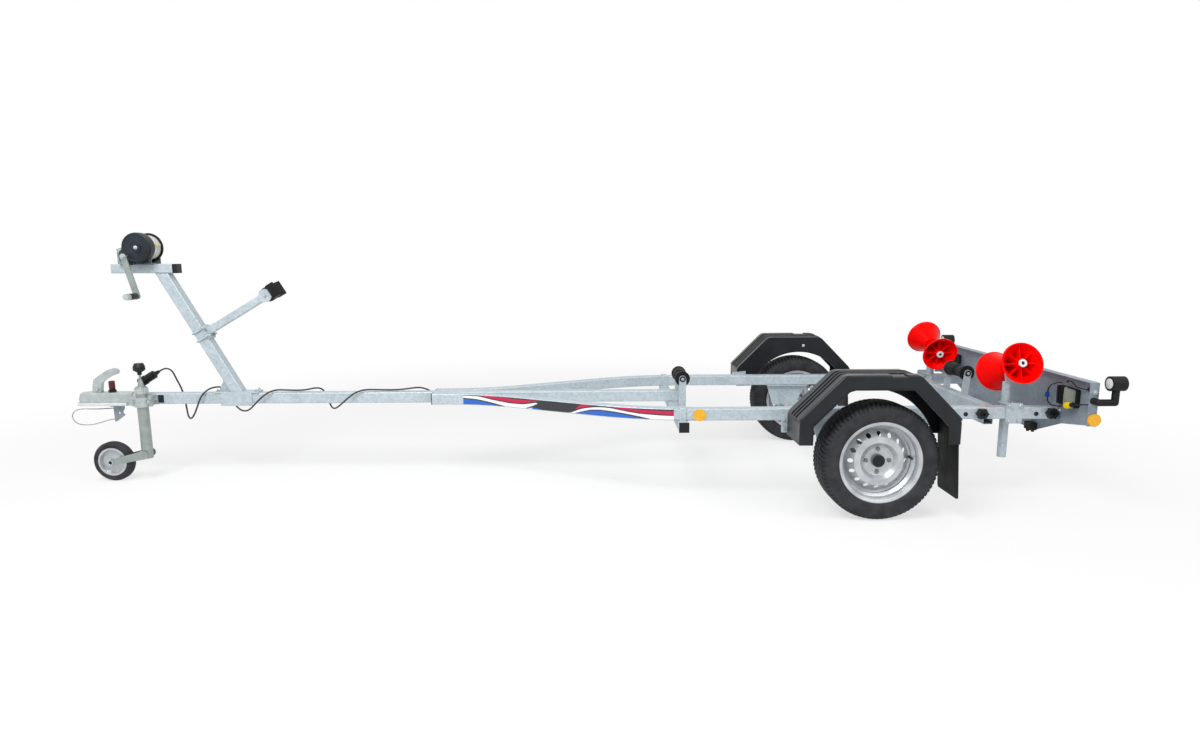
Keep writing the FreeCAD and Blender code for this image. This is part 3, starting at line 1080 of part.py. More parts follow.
def tail_lamps():
    """A rear lamp near each end of the board, its back through the board, and the number plate's lamps."""
    lamps = []
    web = S.board_front + S.board_lip
    back, middle = web + S.board_wall, (S.board_top + S.board_low) / 2
    for side in (-1, 1):
        centre = side * (S.board_half - S.lamp_inset)
        lamp = corner_box(V(back, centre - S.lamp_long / 2, middle - S.lamp_high / 2),
                          V(back + S.lamp_deep, centre + S.lamp_long / 2, middle + S.lamp_high / 2))
        lamp = soften(lamp, S.lamp_round, V(1, 0, 0))
        rear = corner_box(V(web - S.lamp_back_deep, centre - S.lamp_back_long / 2,
                            middle - S.lamp_high / 2 + S.lamp_back_drop),
                          V(web, centre + S.lamp_back_long / 2, middle + S.lamp_high / 2 - S.lamp_back_drop))
        rear = soften(rear, S.lamp_round, V(1, 0, 0))
        side_middle = side * S.plate_lamp_side
        small = corner_box(V(web - S.plate_lamp_deep, side_middle - S.plate_lamp_long / 2, S.board_deep),
                           V(web, side_middle + S.plate_lamp_long / 2, S.board_deep + S.plate_lamp_high))
        lamps += [lamp, rear, soften(small, S.lamp_back_drop, V(1, 0, 0))]
    node(feature("TailLamps", Part.makeCompound(lamps)), "tail_lamps")


def marker_lamps():
    """A rubber arm from each end of the board, bent to the rear and up to a round lamp."""
    lamps = []
    middle, side_out = S.tail_reach - S.marker_long / 2, S.board_half + S.marker_out
    low, half, start = S.marker_low, S.marker_arm / 2, S.board_front + S.board_lip / 2
    for side in (-1, 1):
        face_point = V(S.tail_reach - S.marker_long, side * side_out, S.marker_height)
        head = Part.makeCylinder(S.marker_round, S.marker_long, face_point, V(1, 0, 0))
        root, knee = V(start, side * S.board_half, low), V(start, side * side_out, low)
        elbow = V(middle, side * side_out, low)
        arm = [Part.makeCylinder(half, S.marker_out, root, V(0, side, 0)), Part.makeSphere(half, knee),
               Part.makeCylinder(half, middle - start, knee, V(1, 0, 0)), Part.makeSphere(half, elbow),
               Part.makeCylinder(half, S.marker_height - low, elbow, V(0, 0, 1))]
        lamps.append(head.fuse(arm).removeSplitter())
    node(feature("MarkerLamps", Part.makeCompound(lamps)), "marker_lamps")


def reflectors():
    """Amber discs: one on each rail ahead of the wheel, one at each end of the board."""
    fronts, rears = [], []
    height = S.rail_top - S.tube / 2
    for side in (-1, 1):
        rail_spot = V(-S.member_reach + S.reflector_back, side * S.rail_half, height)
        board_spot = V(S.board_front + S.reflector, side * S.board_half, S.board_low + S.reflector)
        fronts.append(Part.makeCylinder(S.reflector, S.reflector_thick, rail_spot, V(0, side, 0)))
        rears.append(Part.makeCylinder(S.reflector, S.reflector_thick, board_spot, V(0, side, 0)))
    node(feature("SideReflectors", Part.makeCompound(fronts)), "side_reflectors")
    node(feature("RearReflectors", Part.makeCompound(rears)), "rear_reflectors")


def slide_knobs():
    """Star knobs on the rails' outer faces that lock the round bars."""
    knobs = []
    height = S.rail_top - S.tube / 2
    for side in (-1, 1):
        across = V(0, side, 0)
        for x in (S.knob_front, S.knob_rear):
            middle = V(x, side * S.rail_half, height)
            star = Part.makeCylinder(S.knob, S.knob_deep, middle, across)
            lobes = [Part.makeCylinder(S.knob_lobe, S.knob_deep,
                                       middle + V(math.cos(turn), 0, math.sin(turn)) * S.knob, across)
                     for turn in (math.tau * i / S.knob_lobes for i in range(int(S.knob_lobes)))]
            boss = Part.makeCylinder(S.knob_boss, S.knob_deep + S.knob_boss_out, middle, across)
            knobs.append(star.fuse(lobes + [boss]).removeSplitter())
    node(feature("SlideKnobs", Part.makeCompound(knobs)), "slide_knobs")


# The seven-core lead: out of the plug, down behind the drawbar, three times round it and into the
# right rail's end. Points are in millimetres with the axle at X = 0.
LEAD_POINTS = [
    (-3742, 0, 596), (-3720, 0, 609), (-3696, 3, 612), (-3676, 9, 597), (-3668, 18, 568),
    (-3664, 32, 536), (-3660, 48, 506), (-3655, 59, 472), (-3648, 59, 436), (-3638, 48, 404),
    (-3624, 28, 380), (-3608, 2, 360), (-3590, -24, 342), (-3568, -46, 334), (-3546, -58, 350),
    (-3528, -60, 382), (-3514, -58, 418), (-3500, -54, 454), (-3482, -40, 484), (-3461, -15, 501),
    (-3438, 14, 504), (-3416, 44, 496), (-3396, 64, 464), (-3382, 65, 420), (-3360, 56, 388),
    (-3330, 34, 370), (-3296, 6, 366), (-3262, -24, 374), (-3230, -50, 390), (-3200, -60, 418),
    (-3168, -60, 450), (-3132, -48, 480), (-3092, -26, 493), (-3040, -10, 488), (-2984, -2, 484),
    (-2932, 6, 486), (-2892, 24, 494), (-2866, 48, 486), (-2848, 61, 458), (-2836, 62, 424),
    (-2824, 50, 396), (-2806, 24, 382), (-2784, -8, 380), (-2758, -38, 390), (-2726, -56, 414),
    (-2690, -60, 446), (-2652, -50, 476), (-2606, -28, 491), (-2550, -12, 488), (-2480, -2, 484),
    (-2410, 4, 484), (-2354, 14, 490), (-2310, 32, 492), (-2276, 50, 480), (-2248, 59, 462),
    (-2220, 60, 449)]

# The steel breakaway cable: from the bar under the coupling, round in a loop and back to it.
BREAKAWAY_POINTS = [
    (-4015, 0, 388), (-4042, -4, 388), (-4078, -16, 387), (-4120, -30, 390), (-4162, -40, 394),
    (-4198, -44, 388), (-4219, -45, 366), (-4221, -44, 338), (-4206, -42, 314), (-4176, -38, 302),
    (-4136, -30, 300), (-4098, -20, 306), (-4066, -10, 316), (-4038, -3, 324), (-4015, 0, 326)]


def cord_solid(points, thick):
    """A round tube along straight runs joined by the largest tangent arcs that the runs allow."""
    points = [V(*point) for point in points]
    edges, radii, here = [], [], points[0]
    for before, corner, after in zip(points, points[1:], points[2:]):
        back, ahead = (before - corner), (after - corner)
        shorter = min(back.Length, ahead.Length)
        back, ahead = back.normalize(), ahead.normalize()
        turn = math.pi - back.getAngle(ahead)
        cut_back = CORNER_SHARE * shorter
        radius = cut_back / math.tan(turn / 2)
        first, last = corner + back * cut_back, corner + ahead * cut_back
        inward = (back + ahead).normalize()
        middle = corner + inward * (math.hypot(radius, cut_back) - radius)
        edges.append(Part.LineSegment(here, first).toShape())
        edges.append(Part.Arc(first, middle, last).toShape())
        radii.append(radius)
        here = last
    edges.append(Part.LineSegment(here, points[-1]).toShape())
    route = Part.Wire(edges)
    start = (points[1] - points[0]).normalize()
    section = Part.Wire(Part.Circle(points[0], start, thick / 2).toShape())
    tube = route.makePipeShell([section], True, True)
    wanted = math.pi * thick ** 2 / 4 * route.Length
    print("cord", round(route.Length), "mm, radii from", round(min(radii)), "volume ratio",
          round(tube.Volume / wanted, 4))
    print("radii", [round(radius) for radius in radii])
    return tube


def plug_frame():
    """The plug's tail and the way it points, set by the lead's first run."""
    tail = V(*LEAD_POINTS[0])
    return tail, (tail - V(*LEAD_POINTS[1])).normalize()


def lead():
    """The lead, its plug lying nose down on the stand's clamp, and the cap it runs into."""
    node(feature("Lead", cord_solid(LEAD_POINTS, S.cable)), "wiring_lead")
    tail, along = plug_frame()
    sleeve = Part.makeCone(S.plug_tail, S.plug_neck, S.plug_sleeve, tail, along)
    shell = Part.makeCylinder(S.plug_round, S.plug_long, tail + along * S.plug_sleeve, along)
    front = tail + along * (S.plug_sleeve + S.plug_long)
    nose = Part.makeCylinder(S.plug_nose, S.plug_nose_long, front, along)
    node(feature("Plug", sleeve.fuse([shell, nose]).removeSplitter()), "lead_plug")


def breakaway_cable():
    node(feature("Breakaway", cord_solid(BREAKAWAY_POINTS, S.wire)), "breakaway_cable")


for build in (drawbar, front_cross_member, end_caps, rear_cross_member, member_saddles, axle, axle_plates,
              axle_brackets, mud_flaps, guard_stays, coupling_head, coupling_lever, coupling_lock,
              jockey_clamp, jockey_stand, jockey_knob, jockey_fork,
              jockey_rim, jockey_tyre, winch_post, winch_beam, winch_frame, winch_cover, winch_drum,
              winch_crank, bow_arm, bow_block, keel_brackets, cone_posts, light_board, slide_bars,
              slide_guides, tail_lamps, marker_lamps, reflectors, slide_knobs, lead, breakaway_cable,
              coupling_eye):
    build()
for name, side in (("left", -1), ("right", 1)):
    side_rail(side, f"side_rail_{name}")
    hub(side, f"hub_{name}")
    rim(side, f"rim_{name}")
    tyre(side, f"tyre_{name}")
    mudguard(side, f"mudguard_{name}")
    cone(f"cone_{name}_outer", side, 1)
    cone(f"cone_{name}_inner", side, -1)
keel_roller("keel_roller_front", "-member_reach + member_tube/2 + keel_lead", "keel_front_height")
keel_roller("keel_roller_rear", "rear_member_back + rear_member_wide + keel_rear_lead", "keel_rear_height")

doc.recompute()
for item in doc.Objects:
    if "Invalid" in item.State or "Error" in item.State:
        raise RuntimeError(f"{item.Label} failed: {item.State}")
for item in NODES:
    if item.Shape.isNull() or not item.Shape.isValid():
        raise RuntimeError(f"{item.Label} has no valid shape")
os.makedirs("parts", exist_ok=True)
for item in NODES:
    item.Shape.exportStep(f"parts/{item.Label}.step")
    print(item.Label, len(item.Shape.Solids), round(item.Shape.Volume / 1000), "cm3")
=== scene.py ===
# A single-axle boat trailer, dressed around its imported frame. Everything is in metres, with X towards
# the tail, Y towards the trailer's right side and Z up from the ground.
import math

import bmesh
import bpy
import numpy as np
from mathutils import Matrix, Vector


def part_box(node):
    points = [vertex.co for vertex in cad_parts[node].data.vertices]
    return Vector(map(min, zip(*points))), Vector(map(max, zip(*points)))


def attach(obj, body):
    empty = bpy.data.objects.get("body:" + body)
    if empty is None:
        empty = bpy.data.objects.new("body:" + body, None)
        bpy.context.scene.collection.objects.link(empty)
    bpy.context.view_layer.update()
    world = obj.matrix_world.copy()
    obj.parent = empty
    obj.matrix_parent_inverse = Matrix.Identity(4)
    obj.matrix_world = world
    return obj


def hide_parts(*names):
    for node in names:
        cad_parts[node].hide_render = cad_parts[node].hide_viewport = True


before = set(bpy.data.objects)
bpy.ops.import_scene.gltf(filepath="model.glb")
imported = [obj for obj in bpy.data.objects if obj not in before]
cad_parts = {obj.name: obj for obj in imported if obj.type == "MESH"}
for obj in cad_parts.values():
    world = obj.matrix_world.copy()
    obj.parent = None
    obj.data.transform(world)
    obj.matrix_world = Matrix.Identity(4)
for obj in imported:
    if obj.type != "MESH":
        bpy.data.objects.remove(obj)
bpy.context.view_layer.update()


# The welded frame: square steel tubes, hot-dip galvanised after welding. The zinc freezes in small
# flat crystals, so the grey is faintly mottled, dulls in soft patches and keeps a cold blue cast.
def linear(hex_colour):
    """An sRGB hex colour as the linear colour that a shader takes."""
    srgb = np.array([int(hex_colour[i:i + 2], 16) for i in (1, 3, 5)]) / 255
    return (*np.where(srgb <= 0.04045, srgb / 12.92, ((srgb + 0.055) / 1.055) ** 2.4), 1.0)


def wire(node, inputs):
    """Set a node's sockets, each by its value or by the node or socket that feeds it."""
    for name, value in inputs.items():
        if isinstance(value, bpy.types.Node):
            value = next(socket for socket in value.outputs if socket.enabled)
        if isinstance(value, bpy.types.NodeSocket):
            node.id_data.links.new(value, node.inputs[name])
        else:
            node.inputs[name].default_value = value


def add_node(material, kind, inputs=None, **settings):
    """Add a node with its settings, and wire its inputs."""
    node = material.node_tree.nodes.new(kind)
    for name, value in settings.items():
        setattr(node, name, value)
    wire(node, inputs or {})
    return node


def start_material(name):
    """A material with its Object coordinates, in metres, and its Principled shader."""
    material = bpy.data.materials.new(name)
    material.use_nodes = True
    material.node_tree.nodes.clear()
    shader = add_node(material, "ShaderNodeBsdfPrincipled")
    add_node(material, "ShaderNodeOutputMaterial", {"Surface": shader})
    return material, add_node(material, "ShaderNodeTexCoord").outputs["Object"], shader


def dress(material, *nodes):
    """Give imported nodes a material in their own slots."""
    for node in nodes:
        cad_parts[node].material_slots[0].material = material


def relief(material, place, size, detail, depth, strength):
    """Soft unevenness of a real size and depth, in metres: the surface rises with a noise's brightness."""
    noise = add_node(material, "ShaderNodeTexNoise", {"Vector": place, "Scale": 1 / size, "Detail": detail})
    return add_node(material, "ShaderNodeBump", {"Height": noise, "Distance": depth, "Strength": strength})


def hot_dip_galvanised(name, dull, bright):
    """Zinc crystals about 8 mm across, drawn at 12 mm to show, over patches 120 mm across and runs of
    30 mm. The crystals' tone counts for 0.6 of the patches' tone."""
    material, place, shader = start_material(name)
    crystals = add_node(material, "ShaderNodeTexVoronoi", {"Vector": place, "Scale": 1 / 0.012})
    tones = add_node(material, "ShaderNodeSeparateColor", {"Color": crystals.outputs["Color"]})
    patches = add_node(material, "ShaderNodeTexNoise", {"Vector": place, "Scale": 1 / 0.12, "Detail": 4})
    both = add_node(material, "ShaderNodeMath", {0: tones, 1: 0.6, 2: patches}, operation="MULTIPLY_ADD")
    share = add_node(material, "ShaderNodeMapRange", {"Value": both, "From Min": 0.2, "From Max": 1.4})
    tint = add_node(material, "ShaderNodeMix", {0: share, 6: linear(dull), 7: linear(bright)},
                    data_type="RGBA")
    gloss = add_node(material, "ShaderNodeMapRange", {"Value": patches, "To Min": 0.38, "To Max": 0.62})
    runs = relief(material, place, size=0.03, detail=2, depth=0.0006, strength=0.5)
    wire(shader, {"Base Color": tint, "Metallic": 0.3, "Roughness": gloss, "Normal": runs})
    return material


galvanised = hot_dip_galvanised("hot dip galvanised steel", "#A2B0B7", "#C5D0D6")
dress(galvanised, "drawbar", "side_rail_left", "side_rail_right", "front_cross_member", "rear_cross_member",
      "winch_post", "winch_beam", "bow_arm", "axle", "axle_plates", "mudguard_stays", "cone_posts",
      "keel_roller_brackets", "member_saddles")


# The light board is thinner sheet, galvanised before it was folded. Its grey, darker and bluer than the
# tubes, is painted shade. The winch's frame and the lashing eye under the coupling are pressed from lighter
# sheet.
dress(hot_dip_galvanised("galvanised sheet", "#7C8995", "#98A5B1"), "light_board")
dress(hot_dip_galvanised("pressed galvanised sheet", "#808B91", "#9EA8AD"), "winch_frame", "coupling_eye")


# The coupling, the jockey wheel's clamp and the slide bars are bright zinc plated: smoother and more
# metallic than the dipped frame, with a faint milky cloud where the bath left it dull. The jockey
# wheel's leg and fork and the winch's crank have an older plate, which has turned greyer.
def clouded(material, place, dark, light, size, detail, low, high):
    """Clouds of a real size, in metres, and their tint: dark where their tone is low, light where high."""
    clouds = add_node(material, "ShaderNodeTexNoise", {"Vector": place, "Scale": 1 / size, "Detail": detail})
    share = add_node(material, "ShaderNodeMapRange", {"Value": clouds, "From Min": low, "From Max": high})
    tint = add_node(material, "ShaderNodeMix", {0: share, 6: linear(dark), 7: linear(light)},
                    data_type="RGBA")
    return clouds, share, tint


def bright_zinc(name, dull, bright):
    """Electroplated zinc: clouds 40 mm across in the tint and the gloss, over a 4 mm orange peel."""
    material, place, shader = start_material(name)
    clouds, _, tint = clouded(material, place, dull, bright, size=0.04, detail=3, low=0.3, high=0.7)
    gloss = add_node(material, "ShaderNodeMapRange", {"Value": clouds, "To Min": 0.22, "To Max": 0.46})
    peel = relief(material, place, size=0.004, detail=1, depth=0.0002, strength=0.4)
    wire(shader, {"Base Color": tint, "Metallic": 0.55, "Roughness": gloss, "Normal": peel})
    return material


plated = bright_zinc("bright zinc plate", "#ABB3B3", "#C0C8C8")
dress(plated, "coupling_head", "coupling_lever", "jockey_clamp", "slide_bars")
dress(bright_zinc("older zinc plate", "#8F9895", "#A0A9A6"), "jockey_stand", "jockey_fork", "winch_crank")


# Covers, knobs, caps and mudguards are moulded in black polypropylene with a fine leather grain,
# which greys where hands and stones have scuffed it. The winch's cover is a bluer black. The axle's
# brackets have a black chassis paint that looks much the same.
def moulded_plastic(name, dark, scuffed, matt=0.36):
    """Grain of about 1 mm, drawn at 2.5 mm to show, and scuffs in clouds 150 mm across."""
    material, place, shader = start_material(name)
    _, share, tint = clouded(material, place, dark, scuffed, size=0.15, detail=5, low=0.35, high=0.75)
    gloss = add_node(material, "ShaderNodeMapRange", {"Value": share, "To Min": matt, "To Max": matt + 0.16})
    grain = relief(material, place, size=0.0025, detail=2, depth=0.0003, strength=0.5)
    wire(shader, {"Base Color": tint, "Roughness": gloss, "Specular IOR Level": 0.3, "Normal": grain})
    return material


black_plastic = moulded_plastic("moulded black plastic", "#0E1012", "#1A1D21")
cover_plastic = moulded_plastic("moulded winch cover", "#151B20", "#262F37")
dress(cover_plastic, "winch_cover")
dress(black_plastic, "end_caps", "slide_knobs", "lead_plug", "slide_guides", "winch_drum",
      "coupling_lock", "jockey_knob")
dress(moulded_plastic("vacuum formed mudguard", "#14171A", "#1F2429", 0.28),
      "mudguard_left", "mudguard_right")
dress(moulded_plastic("black chassis paint", "#131518", "#1E2124", 0.28), "axle_brackets")


# Flaps, keel rollers, bow block and lamp bodies are black rubber, matt and dusty where they stand
# proud. The tyres' rubber is greyer.
def vulcanised_rubber(name, dark, dusty, matt):
    """Dust in clouds 60 mm across over a mould texture of 2 mm."""
    material, place, shader = start_material(name)
    _, share, tint = clouded(material, place, dark, dusty, size=0.06, detail=5, low=0.4, high=0.8)
    gloss = add_node(material, "ShaderNodeMapRange", {"Value": share, "To Min": matt, "To Max": matt + 0.2})
    skin = relief(material, place, size=0.002, detail=1, depth=0.0002, strength=0.5)
    wire(shader, {"Base Color": tint, "Roughness": gloss, "Specular IOR Level": 0.25, "Normal": skin})
    return material


black_rubber = vulcanised_rubber("black moulded rubber", "#0E0F10", "#1D1F21", 0.55)
dress(black_rubber, "mud_flaps", "bow_block", "keel_roller_front", "keel_roller_rear", "marker_lamps",
      "tail_lamps")
tyre_rubber = vulcanised_rubber("tyre rubber", "#27282B", "#3E4144", 0.6)
dress(tyre_rubber, "jockey_tyre")


# The pressed steel wheels are sprayed with aluminium flake paint, and the cast hubs in dull grey.
# The flakes show as a fine sparkle under a clear gloss.
def flake_paint(name, shade, light, metallic, matt):
    """Flakes drawn at 2 mm to show, under clouds 60 mm across."""
    material, place, shader = start_material(name)
    _, share, tint = clouded(material, place, shade, light, size=0.06, detail=3, low=0.3, high=0.7)
    gloss = add_node(material, "ShaderNodeMapRange", {"Value": share, "To Min": matt, "To Max": matt + 0.12})
    sparkle = relief(material, place, size=0.002, detail=1, depth=0.0001, strength=0.3)
    wire(shader, {"Base Color": tint, "Metallic": metallic, "Roughness": gloss, "Normal": sparkle})
    return material


silver_paint = flake_paint("silver wheel paint", "#AEB2B6", "#CBCFD2", metallic=0.55, matt=0.3)
dress(silver_paint, "rim_left", "rim_right", "jockey_rim")
dress(flake_paint("grey cast iron", "#5C5F62", "#787B7E", metallic=0.3, matt=0.5), "hub_left", "hub_right")


# The plugs in the rails' spare holes and every bolt, nut and washer are small turned shapes. The
# plugs are pushed in by hand, and the bolts are zinc plated.
axle_x = sum(corner.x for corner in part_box("hub_left")) / 2


def at(x, y, z):
    """A place measured from the axle, with Y from the middle and Z from the ground."""
    return np.array([axle_x + x, y, z])


def turned(centre, axis, profile, steps=24, corners=0, flutes=0, depth=0.0):
    """A profile of (radius, height) points turned about an axis: centre + height x axis + radius x circle.
    With corners the circle is a polygon whose flats lie at the radius; with flutes it swells and
    shrinks by depth, as the cosine of so many turns."""
    axis = np.asarray(axis, float) / np.linalg.norm(axis)
    side = np.cross(axis, (0, 0, 1) if abs(axis[2]) < 0.9 else (1, 0, 0))
    side /= np.linalg.norm(side)
    angle = np.linspace(0, 2 * np.pi, steps + 1)
    reach = 1 + depth * np.cos(flutes * angle)
    if corners:
        reach = 1 / np.cos(np.mod(angle, 2 * np.pi / corners) - np.pi / corners)
    circle = (np.cos(angle)[:, None] * side + np.sin(angle)[:, None] * np.cross(axis, side)) * reach[:, None]
    radius, height = np.asarray(profile, float).T
    return np.asarray(centre) + height[:, None, None] * axis + radius[:, None, None] * circle


def into_scene(name, data):
    """A new object in the scene, at the origin, for a mesh, a curve, a lamp or a camera."""
    thing = bpy.data.objects.new(name, data)
    bpy.context.scene.collection.objects.link(thing)
    return thing


def add_piece(name, sheets, material, body, crease=35):
    """Join sheets, grids of points of shape (rows, columns, 3), as quads in one closed mesh. Points that
    meet at seams and poles are merged, and faces are turned outwards."""
    corners, quads, count = [], [], 0
    for sheet in sheets:
        rows, columns = sheet.shape[:2]
        number = np.arange(rows * columns).reshape(rows, columns) + count
        around = [number[:-1, :-1], number[:-1, 1:], number[1:, 1:], number[1:, :-1]]
        quads.append(np.stack(around, -1).reshape(-1, 4))
        corners.append(sheet.reshape(-1, 3))
        count += rows * columns
    mesh = bpy.data.meshes.new(name)
    mesh.from_pydata(np.concatenate(corners), [], np.concatenate(quads))
    shape = bmesh.new()
    shape.from_mesh(mesh)
    bmesh.ops.remove_doubles(shape, verts=shape.verts, dist=1e-6)
    bmesh.ops.recalc_face_normals(shape, faces=shape.faces)
    shape.to_mesh(mesh)
    shape.free()
    mesh.shade_smooth()
    mesh.set_sharp_from_angle(angle=math.radians(crease))
    mesh.materials.append(material)
    piece = into_scene(name, mesh)
    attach(piece, body)
    return piece


def hex_bolt(centre, axis, across, stud=0):
    """A washer and a chamfered hexagon, as wide as across its flats, on a face, with a stud past it."""
    half, washer, head = across / 2, across * 0.12, across * 0.6
    seat = [(0, 0), (across * 0.85, 0), (across * 0.85, washer), (0, washer)]
    flats = [(0, washer), (half, washer), (half, head), (half * 0.86, head * 1.12), (0, head * 1.12)]
    turns = [turned(centre, axis, seat), turned(centre, axis, flats, corners=6)]
    if stud:
        end = [(0, head), (half * 0.55, head), (half * 0.55, head + stud), (0, head + stud)]
        turns.append(turned(centre, axis, end))
    return turns


RAIL_OUTER, HOLE_HEIGHT = 0.526, 0.441
PLUG = [(0, -0.002), (0.011, -0.002), (0.011, 0.0015), (0.009, 0.003), (0, 0.003)]
plugs = []
for side in (-1, 1):
    for run in (0.525, 0.878):
        plugs.append(turned(at(run, side * RAIL_OUTER, HOLE_HEIGHT), (0, side, 0), PLUG))
add_piece("hole_plugs", plugs, black_plastic, "frame")


# A vinyl film along the left rail: a white ground with a blue and a red wave, both edged in charcoal,
# and a charcoal block with slanted ends. It follows the outer face of the bent tube.
RAIL_TURN = math.radians(26)
FIRST_BEND, SECOND_BEND = 0.9, 1.15
RAIL_START = np.array([-2.156, 0.06])
RAIL_FACE = 0.03
SLANT_RUN = (0.436 - (FIRST_BEND + SECOND_BEND) * (1 - math.cos(RAIL_TURN))) / math.sin(RAIL_TURN)
FILM_LOW, FILM_HIGH = 0.4195, 0.4705


def rail_face(run, height, proud):
    """A place on the left rail's outer face: the arc, the slant and the arc back of its middle line, as
    far along as run, moved out by half the tube and by the film's own thickness."""
    first = np.clip(run / FIRST_BEND, 0, RAIL_TURN)
    straight = np.clip(run - FIRST_BEND * RAIL_TURN, 0, SLANT_RUN)
    last = np.clip((run - FIRST_BEND * RAIL_TURN - SLANT_RUN) / SECOND_BEND, 0, RAIL_TURN)
    heading = first - last
    ahead = (FIRST_BEND * np.sin(first) + straight * math.cos(RAIL_TURN)
             + SECOND_BEND * (math.sin(RAIL_TURN) - np.sin(RAIL_TURN - last)))
    aside = (FIRST_BEND * (1 - np.cos(first)) + straight * math.sin(RAIL_TURN)
             + SECOND_BEND * (np.cos(RAIL_TURN - last) - math.cos(RAIL_TURN)))
    out = RAIL_FACE + proud
    return np.stack(np.broadcast_arrays(axle_x + RAIL_START[0] + ahead - out * np.sin(heading),
                                        -(RAIL_START[1] + aside + out * np.cos(heading)), height), -1)


def film(marks, low, high, proud):
    """A flat band between two smooth curves of height, each 0 to 1 up the film and given at marks along
    the rail: its section is a thin loop, back and front, and its ends are closed."""
    run = np.linspace(marks[0], marks[-1], 200)[:, None]
    bounds = []
    for curve in (low, high):
        fine = np.interp(run, marks, curve)
        for _ in range(8):
            padded = np.concatenate([fine[:1], fine, fine[-1:]])
            fine = (padded[:-2] + 2 * fine + padded[2:]) / 4
        bounds.append(FILM_LOW + fine * (FILM_HIGH - FILM_LOW))
    height = bounds[0] + np.linspace(0, 1, 3)[None, :] * (bounds[1] - bounds[0])
    front, back = rail_face(run, height, proud), rail_face(run, height, -0.0004)
    loop = np.concatenate([front, back[:, ::-1], front[:, :1]], 1)
    ends = [np.broadcast_to(loop[i].mean(0), loop[i:][:1].shape) for i in (0, -1)]
    return np.concatenate([ends[0], loop, ends[1]])


def vinyl_film(name, colour):
    """Printed vinyl under a clear laminate: one flat colour, with a faint ripple 30 mm long."""
    material, place, shader = start_material(name)
    ripple = add_node(material, "ShaderNodeTexNoise", {"Vector": place, "Scale": 1 / 0.03, "Detail": 2})
    laminate = add_node(material, "ShaderNodeBump", {"Height": ripple, "Distance": 0.0002, "Strength": 0.3})
    gloss = add_node(material, "ShaderNodeMapRange", {"Value": ripple, "To Min": 0.28, "To Max": 0.4})
    wire(shader, {"Base Color": linear(colour), "Roughness": gloss, "Normal": laminate})
    return material


# Each film's colour, how far it stands proud, and its bands: marks along the rail, and the lower and
# upper curve there. Bands of one colour overlap, so each is a layer proud of the one before.
LAYER = 0.00005
FILMS = {
    "white": ("#E9EAEB", 0.0003, [([0.118, 1.315], [0, 0], [1, 1])]),
    "blue": ("#2560BC", 0.0006, [
        ([0.118, 0.204, 0.279, 0.335], [0, 0, 0, 0], [0.63, 0.5, 0.22, 0]),
        ([0.535, 0.56, 0.6], [0, 0, 0], [0, 0.2, 0.12]),
        ([0.8, 0.886, 0.943, 1.022, 1.1, 1.15, 1.19], [0] * 7,
         [0, 0.44, 0.54, 0.45, 0.25, 0.09, 0])]),
    "charcoal": ("#2E2F33", 0.0008, [
        ([0.118, 0.215, 0.26, 0.335, 0.405, 0.487, 0.545, 0.58, 0.598, 0.775, 0.8, 0.835, 0.886, 0.943,
          1, 1.022, 1.1, 1.15, 1.234, 1.315],
         [0.93, 0.9, 0.7, 0.5, 0.37, 0.4, 0.6, 0.8, 0, 0, 0.24, 0.52, 0.74, 0.88, 0.87, 0.8, 0.59,
          0.49, 0.41, 0.38], [1] * 20),
        ([0.118, 0.204, 0.279, 0.335, 0.37], [0.6, 0.47, 0.2, 0, 0], [0.7, 0.58, 0.34, 0.14, 0.01]),
        ([0.505, 0.54, 0.57, 0.6, 0.63], [0, 0.12, 0.16, 0, 0], [0.04, 0.3, 0.55, 0.78, 0.9]),
        ([0.8, 0.886, 0.943, 1.022, 1.1, 1.15, 1.2], [0, 0.42, 0.52, 0.43, 0.23, 0.07, 0],
         [0.04, 0.52, 0.62, 0.54, 0.36, 0.21, 0.02])]),
    "red": ("#C20848", 0.001, [
        ([0.215, 0.26, 0.335, 0.405, 0.487, 0.545, 0.59], [1, 0.82, 0.62, 0.5, 0.54, 0.74, 0.94],
         [1, 1, 0.97, 0.88, 0.86, 0.9, 0.96]),
        ([0.802, 0.835, 0.886, 0.915], [0.4, 0.64, 0.87, 0.98], [0.44, 1, 1, 1]),
        ([0.99, 1.022, 1.1, 1.15, 1.234, 1.315], [1, 0.91, 0.7, 0.61, 0.53, 0.5],
         [1, 1, 0.97, 0.9, 0.86, 0.85])])}
for tint, (colour, proud, bands) in FILMS.items():
    layers = [film(*band, proud + LAYER * number) for number, band in enumerate(bands)]
    add_piece("rail_film_" + tint, layers, vinyl_film(tint + " vinyl film", colour), "frame")


# A small dark sticker on the drawbar's side, behind the coupling: a rounded square of vinyl film,
# stuck on and left bare.
def oval(width, height, power=1.0, steps=32):
    """A closed outline: cosine and sine to a power, so that 1 gives an ellipse and less a rounded box."""
    angle = np.linspace(0, 2 * np.pi, steps + 1)
    bend = [np.sign(wave) * np.abs(wave) ** power for wave in (np.cos(angle), np.sin(angle))]
    return np.stack([bend[0] * width / 2, bend[1] * height / 2], 1)


def carried(outline, path, swell=None, up=(0, 0, 1)):
    """An outline carried along a path: each ring is the path's point plus the outline's first number
    across the path and its second upwards, times the swell there. Both ends are closed."""
    path = np.asarray(path, float)
    ahead = np.gradient(path, axis=0)
    ahead /= np.linalg.norm(ahead, axis=1)[:, None]
    across = np.cross(ahead, np.asarray(up, float))
    across /= np.linalg.norm(across, axis=1)[:, None]
    swell = np.ones(len(path)) if swell is None else np.asarray(swell, float)
    rings = (outline[None, :, :1] * across[:, None] + outline[None, :, 1:] * np.cross(across, ahead)[:, None])
    rings = path[:, None] + rings * swell[:, None, None]
    ends = [np.broadcast_to(path[i], rings[:1].shape) for i in (0, -1)]
    return np.concatenate([ends[0], rings, ends[1]])


